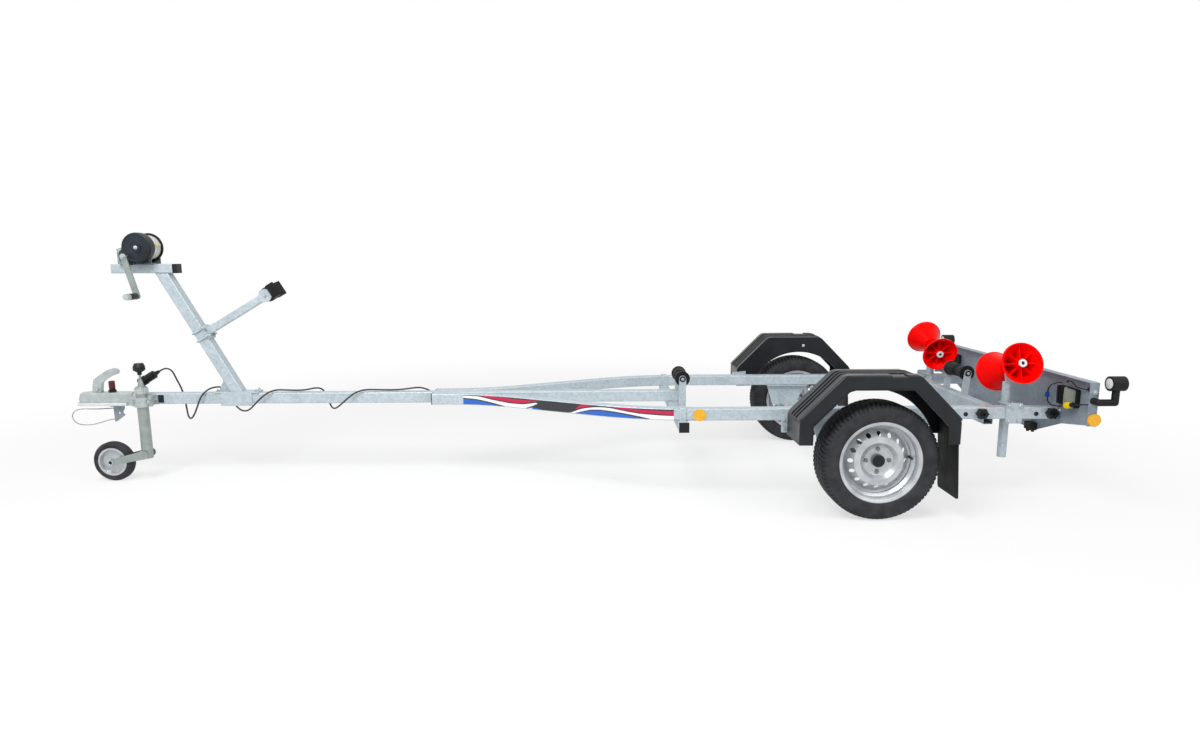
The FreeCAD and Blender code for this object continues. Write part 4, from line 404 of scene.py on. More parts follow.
def pad(centre, towards, width, height, thick, power=0.35):
    """A rounded slab on a face: an oval carried outwards from the face, with its front edge drawn in."""
    towards = np.asarray(towards, float)
    path = [np.asarray(centre) + towards * thick * share for share in (0, 0.7, 0.93, 1.0)]
    return carried(oval(width, height, power), path, [1, 1, 0.97, 0.9])


add_piece("drawbar_sticker", [pad(at(-3.738, -0.03, 0.445), (0, -1, 0), 0.048, 0.044, 0.0008, 0.2)],
          vinyl_film("dark blue vinyl film", "#18212C"), "frame")


# The coupling is pressed from thick sheet whose lower edge is rolled outwards round the nose. The roll
# has a lighter zinc than the head: a painted highlight along its rounded edge.
BALL_IN, LIP_OUT, LIP_HIGH, LIP_REAR = 0.04, 0.041, 0.417, -3.915
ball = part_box("coupling_head")[0].x + BALL_IN
bend = np.linspace(0.5, 1.5, 17) * np.pi
nose = np.stack([ball + LIP_OUT * np.cos(bend), LIP_OUT * np.sin(bend), LIP_HIGH + 0 * bend], 1)
rear = at(LIP_REAR, LIP_OUT, LIP_HIGH)
ends = [np.linspace(rear, nose[0], 8)[:-1], np.linspace(nose[-1], rear * (1, -1, 1), 8)[1:]]
add_piece("coupling_roll", [carried(oval(0.01, 0.017, 0.8), np.concatenate([ends[0], nose, ends[1]]))],
          bright_zinc("zinc plate lightened as painted highlight", "#CDD3D3", "#E2E7E7"), "frame")


# The coupling's lock is a machined barrel, anodised dark red, that stands on the head, and the lever
# turns on a plated bolt with a head on each side.
def anodised_barrel(name, colour):
    """Machined aluminium, anodised: one colour in a satin metal, with clouds of 10 mm in its gloss."""
    material, place, shader = start_material(name)
    wear = add_node(material, "ShaderNodeTexNoise", {"Vector": place, "Scale": 1 / 0.01, "Detail": 2})
    gloss = add_node(material, "ShaderNodeMapRange", {"Value": wear, "To Min": 0.25, "To Max": 0.45})
    wire(shader, {"Base Color": linear(colour), "Metallic": 0.4, "Roughness": gloss})
    return material


BARREL = [(0, 0), (0.0158, 0), (0.0158, 0.034), (0.014, 0.04), (0.006, 0.04), (0.006, 0.037), (0, 0.037)]
add_piece("lock_barrel", [turned(at(-4.012, 0, 0.503), (0, 0, 1), BARREL)],
          anodised_barrel("red anodised barrel", "#5E1D22"), "frame")
pivot = []
for side in (-1, 1):
    pivot += hex_bolt(at(-4.086, side * 0.013, 0.496), (0, side, 0), 0.013)
add_piece("lever_pivot_bolt", pivot, plated, "frame")


# The jockey wheel: two clamp bolts through the lugs with an oval boss between them, a fluted collar
# that the spindle turns in, and outside the fork's arms the axle's plated ends with their dark bolts.
STAND_X, STAND_Y = -3.797, -0.094
clamp_bolts = []
for side in (-1, 1):
    clamp_bolts += hex_bolt(at(STAND_X + side * 0.044, -0.11, 0.443), (0, -1, 0), 0.013, 0.004)
boss_line = [at(STAND_X, y, 0.452) for y in (-0.1305, -0.1335, -0.1345)]
clamp_bolts.append(carried(oval(0.034, 0.022), boss_line, [1, 0.9, 0.7]))
add_piece("stand_clamp_bolts", clamp_bolts, plated, "frame")
COLLAR = [(0.026, 0), (0.0325, 0), (0.0335, 0.004), (0.0335, 0.026), (0.0325, 0.03), (0.026, 0.03),
          (0.026, 0)]
collar = turned(at(STAND_X, STAND_Y, 0.489), (0, 0, 1), COLLAR, steps=144, flutes=24, depth=0.03)
add_piece("stand_collar", [collar], plated, "stand")
AXLE_END = [(0, 0), (0.017, 0), (0.017, 0.003), (0.011, 0.004), (0.009, 0.002), (0, 0.002)]
AXLE_BOLT = [(0, 0), (0.009, 0), (0.009, 0.0015), (0, 0.0015)]
axle_ends, axle_bolts = [], []
for side in (-1, 1):
    axle_ends.append(turned(at(-3.981, STAND_Y + side * 0.041, 0.11), (0, side, 0), AXLE_END))
    axle_bolts.append(turned(at(-3.981, STAND_Y + side * 0.0425, 0.11), (0, side, 0), AXLE_BOLT))
add_piece("jockey_axle_ends", axle_ends, plated, "stand")
add_piece("jockey_axle_bolt", axle_bolts, black_plastic, "stand")


# The winch: a moulded cover with two raised rings round its hub nut, two nuts on each side plate, the
# crank's nut and grip, and on the drum the white webbing strap, whose end is stitched down.
def woven_webbing(name, thread, groove_shade):
    """Polyester webbing: ribs 2 mm apart, drawn 25 mm apart to show, across the strap's width. The wave
    repeats every 2 pi / (20 x Scale) metres."""
    material, place, shader = start_material(name)
    ribs = add_node(material, "ShaderNodeTexWave", {"Vector": place, "Scale": 12.5, "Distortion": 1},
                    wave_type="BANDS", bands_direction="Y").outputs[1]
    # Where the ribs dip, the tint turns darker: painted shade in the grooves between the ribs.
    tint = add_node(material, "ShaderNodeMix", {0: ribs, 6: linear(groove_shade), 7: linear(thread)}, data_type="RGBA")
    weave = add_node(material, "ShaderNodeBump", {"Height": ribs, "Distance": 0.0005, "Strength": 0.6})
    wire(shader, {"Base Color": tint, "Roughness": 0.85, "Normal": weave})
    return material


WINCH = at(-3.752, 0, 1.275)
STRAP = [(0.06, 0), (0.0655, 0), (0.0662, 0.003), (0.0662, 0.068), (0.0655, 0.071), (0.06, 0.071),
         (0.06, 0)]
add_piece("strap_roll", [turned(WINCH + (0, -0.037, 0), (0, 1, 0), STRAP, 64)],
          woven_webbing("polyester webbing", "#E6E6DF", "#C2C2BA"), "drum")
end_line = [WINCH + (run, -0.001, rise)
            for run, rise in ((0.056, 0.01), (0.066, 0.013), (0.073, 0.015), (0.075, 0.0155))]
add_piece("strap_end", [carried(oval(0.052, 0.016, 0.6), end_line, [1, 1, 0.85, 0.5])],
          woven_webbing("stitched webbing", "#EAE2B8", "#C6BE92"), "drum")
RING = np.array([(0, 0), (0, 0.002), (0.002, 0.003), (0.004, 0.002), (0.004, 0), (0, 0)])
rings = [turned(WINCH + (0, -0.087, 0), (0, -1, 0), RING + (radius, 0), 64) for radius in (0.03, 0.07)]
add_piece("winch_cover_ring", rings, cover_plastic, "frame")
HUB_NUT = [(0, 0), (0.011, 0), (0.011, 0.003), (0.008, 0.007), (0.004, 0.009), (0, 0.0095)]
winch_nuts = [turned(WINCH + (0, -0.091, 0), (0, -1, 0), HUB_NUT)]
for side in (-1, 1):
    winch_nuts += hex_bolt(at(-3.863, side * 0.047, 1.257), (0, side, 0), 0.015, 0.004)
    winch_nuts += hex_bolt(at(-3.864, side * 0.047, 1.215), (0, side, 0), 0.013, 0.003)
add_piece("winch_nuts", winch_nuts, plated, "frame")
GRIP_X, GRIP_Z = -3.7545, 1.02
CRANK_CAP = [(0, 0), (0.0165, 0), (0.017, 0.004), (0.017, 0.023), (0.0155, 0.0275), (0, 0.0285)]
crank_end = hex_bolt(at(-3.808, -0.119, 1.228), (0, -1, 0), 0.019, 0.004)
crank_end.append(turned(at(GRIP_X, -0.192, GRIP_Z), (0, -1, 0), CRANK_CAP, 32))
add_piece("crank_fittings", crank_end, plated, "crank")
HAND_GRIP = [(0, 0), (0.0165, 0), (0.0175, 0.004), (0.0165, 0.033), (0.0175, 0.062), (0.0168, 0.066),
             (0, 0.066)]
add_piece("crank_grip", [turned(at(GRIP_X, -0.126, GRIP_Z), (0, -1, 0), HAND_GRIP, 32)],
          black_plastic, "crank")


# The bow arm's two bent rods come through its plate with a nut on each end, and the block pivots on a
# bolt through the ears. The post's foot is bolted to a plate on the drawbar.
POST_MIDDLE = at(-3.484, 0, 0.8)
POST_LEAN = math.radians(28.4)
POST_RUN = np.array([-math.sin(POST_LEAN), 0, math.cos(POST_LEAN)])
POST_OUT = np.array([math.cos(POST_LEAN), 0, math.sin(POST_LEAN)])
bow_bolts = []
for level in (-0.024, 0.024):
    for side in (-1, 1):
        rod_end = POST_MIDDLE + POST_RUN * level + POST_OUT * 0.036 + (0, side * 0.035, 0)
        bow_bolts += hex_bolt(rod_end, POST_OUT, 0.017)
for side in (-1, 1):
    bow_bolts += hex_bolt(at(-3.1156, side * 0.026, 1.0146), (0, side, 0), 0.013, 0.003)
    for run in (-3.417, -3.205):
        bow_bolts += hex_bolt(at(run, side * 0.022, 0.483), (0, 0, 1), 0.013, 0.006)
add_piece("bow_post_bolts", bow_bolts, plated, "frame")


# The keel rollers turn on pins with a black washer and a silver nut at each end, and each roller has
# shallow moulded ribs round its waist.
PIN_WASHER = [(0, 0), (0.017, 0), (0.017, 0.005), (0.014, 0.008), (0, 0.008)]
RIB = [(0.026, 0), (0.0325, 0.0005), (0.033, 0.0025), (0.0325, 0.0045), (0.026, 0.005), (0.026, 0)]
RIB_PLACES = np.arange(-0.0545, 0.05, 0.013)
pin_washers, pin_nuts = [], []
for name, centre in (("front", at(-0.838, 0, 0.554)), ("rear", at(0.729, 0, 0.577))):
    for side in (-1, 1):
        pin_washers.append(turned(centre + (0, side * 0.105, 0), (0, side, 0), PIN_WASHER))
        pin_nuts += hex_bolt(centre + (0, side * 0.1125, 0), (0, side, 0), 0.01)
    ribs = [turned(centre + (0, offset, 0), (0, 1, 0), RIB, 48) for offset in RIB_PLACES]
    add_piece("keel_ribs_" + name, ribs, black_rubber, name + "_roller")
add_piece("keel_pin_washers", pin_washers, black_plastic, "frame")
add_piece("keel_pin_nuts", pin_nuts, plated, "frame")


# The road wheels: radial tyres with three grooves round the tread, sipes across the shoulders and
# rings on the sidewalls, for the light trailer size whose outer radius is 279 mm.
TREAD_HALF, TREAD_RADIUS, BEAD_RADIUS = 0.06, 0.279, 0.1783
GROOVES, GROOVE_HALF, GROOVE_DEEP = np.array([0.0, 0.03]), 0.0038, 0.006
SIPES, SIPE_SLANT, SIPE_DEEP, SLIT_DEEP = 80, 12, 0.0045, 0.0015
RINGS, RING_HALF, RING_PROUD = (0.2045, 0.216, 0.2465), 0.0016, 0.0009
TURN_STEPS = 480


def tyre(centre):
    """A tyre: a section of (across, radius) points turned about the axle, sunk where a groove runs round
    or a sipe or slit runs across, and raised by the rings on its sidewalls."""
    wall = np.array([(0.0625, 0.2766), (0.066, 0.2755), (0.07, 0.2738), (0.074, 0.2712), (0.0775, 0.2678),
                     (0.0805, 0.2635), (0.083, 0.258), (0.0852, 0.251), (0.0868, 0.243), (0.0877, 0.234),
                     (0.0878, 0.226), (0.0872, 0.218), (0.086, 0.211), (0.0838, 0.204), (0.081, 0.1985),
                     (0.0775, 0.194), (0.073, 0.189), (0.068, 0.184), (0.0655, BEAD_RADIUS)])
    crown = np.linspace(-TREAD_HALF, TREAD_HALF, 49)
    tread = np.stack([crown, TREAD_RADIUS - 0.0016 * (crown / TREAD_HALF) ** 4], 1)
    section = np.concatenate([wall[::-1] * (-1, 1), tread, wall, wall[-1:] * (-1, 1)])
    across, radius = section.T
    slope = np.gradient(section, axis=0)
    out = np.stack([-slope[:, 1], slope[:, 0]], 1)
    out /= np.linalg.norm(out, axis=1)[:, None]
    angle = np.linspace(0, 2 * np.pi, TURN_STEPS + 1)[None, :]
    grooved = np.abs(np.abs(across[:, None]) - GROOVES).min(1) < GROOVE_HALF
    pitch = np.mod(angle * SIPES / (2 * np.pi) + SIPE_SLANT * np.abs(across[:, None]), 1)
    shoulder = (np.abs(across) > 0.037) & (radius > 0.2625)
    inner = (np.abs(across) <= 0.026) & ~grooved
    sunk = GROOVE_DEEP * grooved[:, None] + SIPE_DEEP * (shoulder[:, None] & (pitch < 0.3))
    sunk = sunk + SLIT_DEEP * (inner[:, None] & (pitch < 0.14))
    rings = sum(np.exp(-((radius - ring) / RING_HALF) ** 2) for ring in RINGS) * (radius < 0.26)
    lift = RING_PROUD * rings[:, None] - sunk
    reach = radius[:, None] + lift * out[:, 1:]
    return centre + np.stack([reach * np.sin(angle), across[:, None] + lift * out[:, :1] + 0 * angle,
                              reach * np.cos(angle)], -1)


WHEEL_Y, WHEEL_Z = 0.75, 0.279
SIDES = (("left", -1), ("right", 1))
for name, side in SIDES:
    road_tyre = add_piece("road_tyre_" + name, [tyre(at(0, side * WHEEL_Y, WHEEL_Z))], tyre_rubber,
                          name + "_wheel", crease=28)
    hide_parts("tyre_" + name)


# Each wheel is held by four plated bolts round a black cap that is pressed over the hub's end, and
# has a rubber valve through its dish.
BOLT_CIRCLE, HUB_FACE, BOSS_END = 0.054, 0.02, 0.044
BOLT_SEAT = [(0, 0), (0.0115, 0), (0.0105, 0.004), (0, 0.004)]
BOLT_HEAD = [(0, 0.003), (0.0085, 0.003), (0.0085, 0.014), (0.0072, 0.016), (0, 0.016)]
HUB_CAP = [(0, -0.004), (0.0285, -0.004), (0.029, 0.002), (0.0275, 0.006), (0.0245, 0.007),
           (0.0225, 0.0055), (0.01, 0.0062), (0, 0.0065)]
VALVE = [(0, 0), (0.0065, 0), (0.0055, 0.02), (0.0042, 0.024), (0.0042, 0.046), (0.0034, 0.048), (0, 0.048)]
# The bolts get a dark grey zinc as painted shade, which sets them apart from the hub round them.
shaded_bolt_steel = bright_zinc("zinc plate darkened as painted shade", "#62686B", "#858B8E")
for name, side in SIDES:
    centre, out = at(0, side * WHEEL_Y, WHEEL_Z), (0, side, 0)
    bolts = []
    for turn in np.arange(4) * np.pi / 2:
        place = centre + (BOLT_CIRCLE * math.sin(turn), side * HUB_FACE, BOLT_CIRCLE * math.cos(turn))
        bolts += [turned(place, out, BOLT_SEAT), turned(place, out, BOLT_HEAD, corners=6)]
    add_piece("wheel_bolts_" + name, bolts, shaded_bolt_steel, name + "_wheel")
    cap = turned(centre + (0, side * BOSS_END, 0), out, HUB_CAP, 48)
    valve = turned(centre + (0.155, side * 0.004, 0.011), out, VALVE)
    add_piece("hub_cap_" + name, [cap, valve], black_plastic, name + "_wheel")


# The mudguards hang on flat stays: a strap down each guard's inner wall at the front, and round
# headed bolts through the wall. The axle's black brackets have three bolts each.
GUARD_WALL, BRACKET_FACE = 0.655, 0.466
ROUND_HEAD = [(0, 0), (0.01, 0), (0.009, 0.003), (0.005, 0.005), (0, 0.0055)]
straps, strap_bolts = [], []
for side in (-1, 1):
    outer, inner = side * (GUARD_WALL + 0.0005), side * (GUARD_WALL - 0.0045)
    straps.append(carried(oval(0.08, 0.084, 0.12), [at(-0.386, outer, 0.427), at(-0.386, inner, 0.427)]))
    for height in (0.446, 0.408):
        strap_bolts += hex_bolt(at(-0.413, inner, height), (0, -side, 0), 0.013)
        strap_bolts += hex_bolt(at(-0.413, outer, height), (0, side, 0), 0.013)
    for run, height in ((-0.36, 0.452), (0.318, 0.452), (0.028, 0.638)):
        head = at(run, side * (GUARD_WALL - 0.001), height)
        strap_bolts.append(turned(head, (0, -side, 0), ROUND_HEAD))
    for run, height in ((0.04, 0.398), (0.072, 0.366), (0.036, 0.33)):
        strap_bolts += hex_bolt(at(run, side * BRACKET_FACE, height), (0, -side, 0), 0.016, 0.004)
add_piece("stay_straps", straps, galvanised, "frame")
add_piece("stay_bolts", strap_bolts, plated, "frame")


# The side rollers are moulded in bright red polymer, glossy and faintly clouded, and turn on white
# bushes. Bent rods with four nuts clamp each post's plate to the rail, and the star knobs beside them
# have a rubber insert in their face.
def glossy_polymer(name, deep, bright, matt=0.26):
    """Moulded vinyl: clouds 80 mm across in its tint and gloss."""
    material, place, shader = start_material(name)
    _, share, tint = clouded(material, place, deep, bright, size=0.08, detail=2, low=0.3, high=0.7)
    gloss = add_node(material, "ShaderNodeMapRange", {"Value": share, "To Min": matt, "To Max": matt + 0.12})
    wire(shader, {"Base Color": tint, "Roughness": gloss, "Specular IOR Level": 0.08})
    return material


dress(glossy_polymer("red roller polymer", "#F20000", "#FF0400"), "cone_left_outer", "cone_left_inner",
      "cone_right_outer", "cone_right_inner")
white_nylon = glossy_polymer("white nylon", "#DCDDDC", "#EDEDEC", 0.4)
CONE_TILT = math.radians(18)
BUSH = [(0.0085, -0.004), (0.019, -0.004), (0.02, 0.004), (0.018, 0.0065), (0.0095, 0.0065),
        (0.0085, 0.005), (0.0085, -0.004)]
SHAFT_END = [(0, -0.004), (0.0083, -0.004), (0.0083, 0.002), (0.006, 0.0035), (0, 0.0035)]
for half, side in SIDES:
    for spot, turn in (("outer", 1), ("inner", -1)):
        name = half + "_" + spot
        axis = np.array([0, side * turn * math.cos(CONE_TILT), turn * math.sin(CONE_TILT)])
        face = at(0.765, side * 0.444, 0.663) + axis * 0.1285
        add_piece("cone_bush_" + name, [turned(face, axis, BUSH, 40)], white_nylon, name + "_cone")
        add_piece("cone_axle_end_" + name, [turned(face, axis, SHAFT_END)], black_plastic, "frame")
KNOB_FACE = [(0, -0.002), (0.0095, -0.002), (0.0095, 0.001), (0.0075, 0.0015), (0.006, 0.0005), (0, 0.0005)]
clamp_nuts, knob_faces = [], []
for side in (-1, 1):
    for run in (0.739, 0.791):
        for height in (0.406, 0.484):
            clamp_nuts += hex_bolt(at(run, side * 0.532, height), (0, side, 0), 0.016)
    for run in (0.602, 0.95):
        knob_faces.append(turned(at(run, side * 0.5575, 0.445), (0, side, 0), KNOB_FACE))
add_piece("clamp_rod_nuts", clamp_nuts, plated, "frame")
add_piece("knob_inserts", knob_faces, black_rubber, "frame")


# The lamps: amber reflectors of moulded prisms on the rails and the board, coloured lenses on the
# tail lamps, clear ones under the plate lamps, and markers clear to the front and red to the rear.
def prism_lens(name, deep, light):
    """Pyramids 3 mm wide, drawn at 5 mm to show, behind a clear face."""
    material, place, shader = start_material(name)
    prisms = add_node(material, "ShaderNodeTexVoronoi", {"Vector": place, "Scale": 1 / 0.005},
                      distance="CHEBYCHEV")
    share = add_node(material, "ShaderNodeMapRange", {"Value": prisms, "From Max": 0.7})
    tint = add_node(material, "ShaderNodeMix", {0: share, 6: linear(light), 7: linear(deep)},
                    data_type="RGBA")
    facets = add_node(material, "ShaderNodeBump", {"Height": prisms, "Distance": 0.002})
    wire(shader, {"Base Color": tint, "Roughness": 0.22, "Coat Weight": 0.2, "Normal": facets})
    return material


PRISMS = {"amber": prism_lens("amber reflector", "#EA9E00", "#FFC600"),
          "red": prism_lens("red lamp lens", "#9E0D12", "#C91A1D"),
          "clear": prism_lens("clear lamp lens", "#C9CDCE", "#E4E6E6")}
dress(PRISMS["amber"], "side_reflectors", "rear_reflectors")
REFLECTOR = [(0, 0), (0.027, 0), (0.027, 0.001), (0.025, 0.0016), (0.022, 0.001), (0.0215, 0.0016),
             (0, 0.0022)]
FRONT_MARKER = [(0, 0), (0.024, 0), (0.024, 0.003), (0.019, 0.006), (0, 0.008)]
REAR_MARKER = [(0, 0), (0.026, 0), (0.026, 0.003), (0.02, 0.006), (0, 0.008)]
BACKWARDS, FORWARDS = (1, 0, 0), (-1, 0, 0)
side_faces, rear_faces = [], []
lenses = {"amber": [], "red": [], "clear": []}
for side in (-1, 1):
    side_faces.append(turned(at(-0.802, side * 0.5338, 0.445), (0, side, 0), REFLECTOR, 48))
    rear_faces.append(turned(at(0.985, side * 0.8078, 0.47), (0, side, 0), REFLECTOR, 48))
    for tint, middle, width in (("amber", 0.675, 0.06), ("red", 0.6, 0.078), ("clear", 0.5275, 0.055)):
        lenses[tint].append(pad(at(1.0385, side * middle, 0.5425), BACKWARDS, width, 0.09, 0.006, 0.2))
    lenses["clear"].append(turned(at(1.0155, side * 0.84, 0.648), FORWARDS, FRONT_MARKER, 40))
    lenses["red"].append(turned(at(1.0785, side * 0.84, 0.648), BACKWARDS, REAR_MARKER, 40))
    lenses["clear"].append(pad(at(0.9975, side * 0.315, 0.332), BACKWARDS, 0.05, 0.028, 0.004, 0.3))
add_piece("side_reflector_faces", side_faces, PRISMS["amber"], "frame")
add_piece("rear_reflector_faces", rear_faces, PRISMS["amber"], "board")
for tint, faces in lenses.items():
    add_piece("lamp_lenses_" + tint, faces, PRISMS[tint], "board")


# Behind each tail lamp its wires come out of a smoky moulded holder, pass a blue and a yellow
# connector and are clipped to the board. All of it is screwed or plugged into the lamp.
def tube_path(points):
    """A soft line along points: 40 even places on the runs between them, each then moved three times to
    the mean of itself, counted twice, and its two neighbours."""
    points = np.asarray(points, float)
    along = np.concatenate([[0], np.cumsum(np.linalg.norm(np.diff(points, axis=0), axis=1))])
    even = np.linspace(0, along[-1], 40)
    line = np.stack([np.interp(even, along, column) for column in points.T], 1)
    for _ in range(3):
        line[1:-1] = (line[:-2] + 2 * line[1:-1] + line[2:]) / 4
    return line


WIRES = (
    (0.006, [(0.976, 0.56, 0.604), (0.962, 0.545, 0.603), (0.958, 0.5, 0.585), (0.958, 0.474, 0.56),
             (0.96, 0.47, 0.535)]),
    (0.006, [(0.96, 0.47, 0.52), (0.958, 0.476, 0.495), (0.957, 0.51, 0.484), (0.957, 0.56, 0.486),
             (0.957, 0.62, 0.5)]),
    (0.006, [(0.957, 0.69, 0.519), (0.958, 0.715, 0.525), (0.97, 0.74, 0.53), (0.992, 0.75, 0.532)]),
    (0.006, [(0.976, 0.598, 0.612), (0.962, 0.615, 0.626), (0.96, 0.655, 0.625), (0.962, 0.69, 0.606),
             (0.98, 0.722, 0.6), (0.992, 0.728, 0.6)]),
    (0.009, [(0.968, 0.537, 0.59), (0.967, 0.539, 0.545), (0.968, 0.541, 0.5)]))
SLEEVE = [(0, 0), (0.012, 0), (0.012, 0.01), (0.008, 0.018), (0, 0.018)]
GROMMET = [(0, 0), (0.011, 0), (0.01, 0.012), (0, 0.014)]
CONNECTOR = [(0, 0), (0.012, 0), (0.0155, 0.004), (0.0155, 0.038), (0.013, 0.044), (0, 0.044)]
LAMP_KNOB = [(0, 0), (0.0075, 0), (0.0085, 0.006), (0.007, 0.012), (0, 0.014)]
holders, wires, blue_parts, yellow_parts, knobs, board_bolts = [], [], [], [], [], []
for side in (-1, 1):
    holders.append(pad(at(0.9775, side * 0.627, 0.5475), FORWARDS, 0.074, 0.074, 0.012, 0.25))
    holders.append(pad(at(0.9775, side * 0.6, 0.5475), FORWARDS, 0.006, 0.084, 0.016, 0.3))
    for thick, route in WIRES:
        line = tube_path([at(x, side * y, z) for x, y, z in route])
        wires.append(carried(oval(thick, thick, steps=12), line, up=FORWARDS))
    slope = (0, side, 0.25)
    wires.append(turned(at(0.957, side * 0.672, 0.5155), slope, SLEEVE))
    wires.append(turned(at(0.9955, side * 0.745, 0.604), FORWARDS, GROMMET))
    blue_line = [at(0.9585, side * 0.469, z) for z in (0.515, 0.519, 0.536, 0.54)]
    blue_parts.append(carried(oval(0.018, 0.018, 0.6), blue_line, [0.8, 1, 1, 0.8], up=FORWARDS))
    yellow_parts.append(turned(at(0.957, side * 0.628, 0.504), slope, CONNECTOR, 32))
    for run, aside in ((0.97, 0.306), (0.986, 0.324)):
        knobs.append(turned(at(run, side * aside, 0.3125), (0, 0, -1), LAMP_KNOB))
    board_bolts += hex_bolt(at(0.978, side * 0.8, 0.602), (0, side, 0), 0.015)
    for run in (-0.028, 0.028):
        board_bolts += hex_bolt(at(0.9955, side * (0.496 + run), 0.445 + run / 2), FORWARDS, 0.012)
add_piece("lamp_holders", holders, glossy_polymer("smoky lamp holder", "#7C877F", "#959E96", 0.3),
          "board")
add_piece("lamp_wires", wires, black_plastic, "board")
add_piece("blue_connectors", blue_parts, glossy_polymer("blue connector", "#1B4FB4", "#2961C9"),
          "board")
add_piece("yellow_connectors", yellow_parts, glossy_polymer("yellow connector", "#E5C800", "#F4DC12"),
          "board")
add_piece("plate_lamp_knobs", knobs, black_plastic, "board")
add_piece("board_bolts", board_bolts, plated, "board")


# The seven-core lead, 9 mm over its black jacket. It comes out of the right rail's end, winds three
# times round the drawbar and rises behind it to its plug, which rests nose down behind the stand.
def jacket(name, dark, light):
    """A cable's extruded PVC: nearly even, with wear in clouds of 15 mm."""
    material, place, shader = start_material(name)
    wear, _, tint = clouded(material, place, dark, light, size=0.015, detail=3, low=0.3, high=0.8)
    sheen = add_node(material, "ShaderNodeMapRange", {"Value": wear, "To Min": 0.4, "To Max": 0.65})
    wire(shader, {"Base Color": tint, "Roughness": sheen})
    return material


def route_curve(name, points, thick, material):
    """A round cord along a smooth order 3 spline steered by its route's points."""
    curve = bpy.data.curves.new(name, "CURVE")
    curve.dimensions = "3D"
    curve.bevel_depth, curve.bevel_resolution, curve.resolution_u = thick / 2, 4, 8
    curve.use_fill_caps = True
    spline = curve.splines.new("NURBS")
    spline.points.add(len(points) - 1)
    for point, (x, y, z) in zip(spline.points, points):
        point.co = (x + axle_x, y, z, 1)
    spline.order_u, spline.use_endpoint_u = 3, True
    curve.materials.append(material)
    return into_scene(name, curve)


LEAD_ROUTE = [
    (-2.22, 0.06, 0.449), (-2.248, 0.059, 0.462), (-2.276, 0.05, 0.48), (-2.31, 0.032, 0.492),
    (-2.354, 0.014, 0.49), (-2.41, 0.004, 0.484), (-2.48, -0.002, 0.484), (-2.55, -0.012, 0.488),
    (-2.606, -0.028, 0.491), (-2.652, -0.05, 0.476), (-2.69, -0.06, 0.446), (-2.726, -0.056, 0.414),
    (-2.758, -0.038, 0.39), (-2.784, -0.008, 0.38), (-2.806, 0.024, 0.382), (-2.824, 0.05, 0.396),
    (-2.836, 0.062, 0.424), (-2.848, 0.061, 0.458), (-2.866, 0.048, 0.486), (-2.892, 0.024, 0.494),
    (-2.932, 0.006, 0.486), (-2.984, -0.002, 0.484), (-3.04, -0.01, 0.488), (-3.092, -0.026, 0.493),
    (-3.132, -0.048, 0.48), (-3.168, -0.06, 0.45), (-3.2, -0.06, 0.418), (-3.23, -0.05, 0.39),
    (-3.262, -0.024, 0.374), (-3.296, 0.006, 0.366), (-3.33, 0.034, 0.37), (-3.36, 0.056, 0.388),
    (-3.382, 0.065, 0.42), (-3.396, 0.064, 0.464), (-3.416, 0.044, 0.496), (-3.438, 0.014, 0.504),
    (-3.461, -0.015, 0.501), (-3.482, -0.04, 0.484), (-3.5, -0.054, 0.454), (-3.514, -0.058, 0.418),
    (-3.528, -0.06, 0.382), (-3.546, -0.058, 0.35), (-3.568, -0.046, 0.334), (-3.59, -0.024, 0.342),
    (-3.608, 0.002, 0.36), (-3.624, 0.028, 0.38), (-3.638, 0.048, 0.404), (-3.648, 0.059, 0.436),
    (-3.655, 0.059, 0.472), (-3.66, 0.048, 0.506), (-3.664, 0.032, 0.536), (-3.668, 0.018, 0.568),
    (-3.676, 0.009, 0.597), (-3.696, 0.003, 0.612), (-3.72, 0, 0.609), (-3.742, 0, 0.596)]
lead = route_curve("lead_cable", LEAD_ROUTE, 0.009, jacket("PVC jacket", "#1A1B1D", "#34363A"))
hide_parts("wiring_lead")
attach(lead, "frame")


# The breakaway cable is 6 mm wire rope in a clear sleeve. It leaves the bar under the coupling,
# loops forwards past the nose and goes back into the same bar.
BREAKAWAY_ROUTE = [
    (-4.015, 0, 0.388), (-4.042, -0.004, 0.388), (-4.078, -0.016, 0.387), (-4.12, -0.03, 0.39),
    (-4.162, -0.04, 0.394), (-4.198, -0.044, 0.388), (-4.219, -0.045, 0.366), (-4.221, -0.044, 0.338),
    (-4.206, -0.042, 0.314), (-4.176, -0.038, 0.302), (-4.136, -0.03, 0.3), (-4.098, -0.02, 0.306),
    (-4.066, -0.01, 0.316), (-4.038, -0.003, 0.324), (-4.015, 0, 0.326)]
breakaway = route_curve("breakaway_loop", BREAKAWAY_ROUTE, 0.006,
                        jacket("sleeved wire rope", "#8C8E8C", "#C4C5C0"))
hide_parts("breakaway_cable")
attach(breakaway, "frame")


# The studio: a white floor that runs into a white sky. The camera, gloss and glass see both as a plain
# white, apart from the shadow that the floor takes near the trailer.
FLOOR_HALF, FADE_START, FADE_END = 60, 1.4, 5


def seen_directly(owner):
    """1 for a ray from the camera, from gloss or through glass, and 0 for one that only lights."""
    rays = add_node(owner, "ShaderNodeLightPath").outputs
    direct = add_node(owner, "ShaderNodeMath", {0: rays["Is Camera Ray"], 1: rays["Is Glossy Ray"]},
                      operation="MAXIMUM")
    return add_node(owner, "ShaderNodeMath", {0: direct, 1: rays["Is Transmission Ray"]},
                    operation="MAXIMUM")


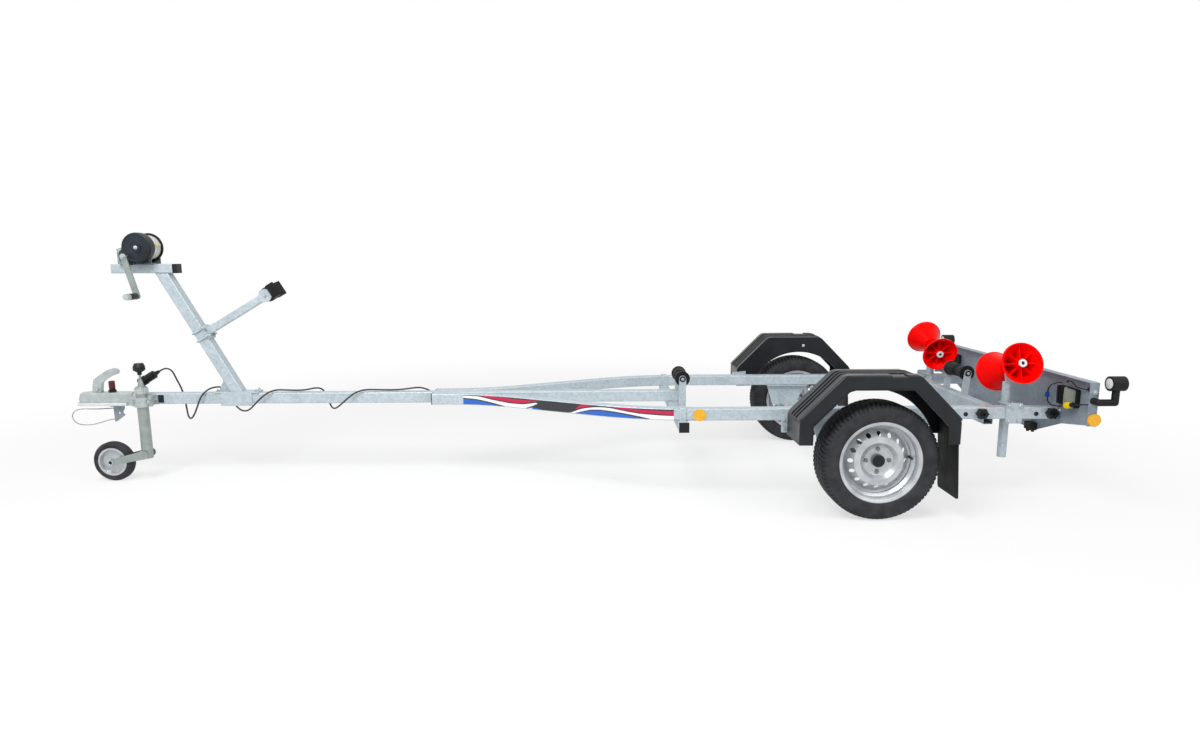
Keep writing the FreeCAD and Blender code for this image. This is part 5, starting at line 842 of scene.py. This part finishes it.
def studio_floor():
    """Matt white that takes a shadow near the trailer and glows evenly further off, where it meets the
    sky without a line."""
    material, place, shader = start_material("studio floor")
    distance = add_node(material, "ShaderNodeVectorMath", {0: place}, operation="LENGTH")
    fade = add_node(material, "ShaderNodeMapRange",
                    {"Value": distance.outputs["Value"], "From Min": FADE_START, "From Max": FADE_END,
                     "To Min": 0.62}, interpolation_type="SMOOTHSTEP")
    share = add_node(material, "ShaderNodeMath", {0: seen_directly(material), 1: fade}, operation="MULTIPLY")
    matt = add_node(material, "ShaderNodeBsdfDiffuse", {"Color": linear("#F4F4F4")})
    glow = add_node(material, "ShaderNodeEmission", {"Color": (1, 1, 1, 1), "Strength": 1.0})
    mixed = add_node(material, "ShaderNodeMixShader", {"Fac": share, 1: matt, 2: glow})
    output = shader.outputs["BSDF"].links[0].to_node
    material.node_tree.nodes.remove(shader)
    wire(output, {"Surface": mixed})
    return material


floor_mesh = bpy.data.meshes.new("floor")
floor_corners = [(x * FLOOR_HALF, y * FLOOR_HALF, 0) for x, y in ((-1, -1), (1, -1), (1, 1), (-1, 1))]
floor_mesh.from_pydata(floor_corners, [], [(0, 1, 2, 3)])
floor_mesh.materials.append(studio_floor())
floor = into_scene("floor", floor_mesh)
world = bpy.data.worlds.new("studio sky")
bpy.context.scene.world = world
world.use_nodes = True
world.node_tree.nodes.clear()
strength = add_node(world, "ShaderNodeMapRange", {"Value": seen_directly(world), "To Min": 0.42})
sky = add_node(world, "ShaderNodeBackground", {"Color": (1, 1, 1, 1), "Strength": strength})
add_node(world, "ShaderNodeOutputWorld", {"Surface": sky})


# Two square panels light the trailer softly: the key hangs above the camera, and the weaker fill to
# its right. Both face the trailer's middle.
PANEL, AIM = 3, Vector((0, 0, 0.3))
for name, place, power in (("key", (-1.6, -3.4, 4.7), 265), ("fill", (3.5, -3.0, 4.0), 70)):
    light = bpy.data.lights.new(name, "AREA")
    light.size, light.energy = PANEL, power
    lamp = into_scene(name, light)
    lamp.location = place
    lamp.rotation_euler = (AIM - Vector(place)).to_track_quat("-Z", "Y").to_euler()


# The camera stands where the photographer stood, just over four metres from the trailer's middle
# line. It is rolled, tipped up from straight down and swung, by the angles that fit the photograph.
SENSOR, FOCAL_SHARE = 36, 768.6 / 1200
PITCH, YAW, ROLL = 0.1643, 0.0102, -0.0037
CAMERA_PLACE = (axle_x - 1.333, -4.249, 1.266)
camera = into_scene("camera", bpy.data.cameras.new("camera"))
camera.data.sensor_width, camera.data.lens = SENSOR, SENSOR * FOCAL_SHARE
camera.matrix_world = (Matrix.Translation(CAMERA_PLACE) @ Matrix.Rotation(-YAW, 4, "Z")
                       @ Matrix.Rotation(math.pi / 2 - PITCH, 4, "X") @ Matrix.Rotation(ROLL, 4, "Z"))
bpy.context.scene.camera = camera
bpy.context.scene.view_settings.view_transform = "Standard"
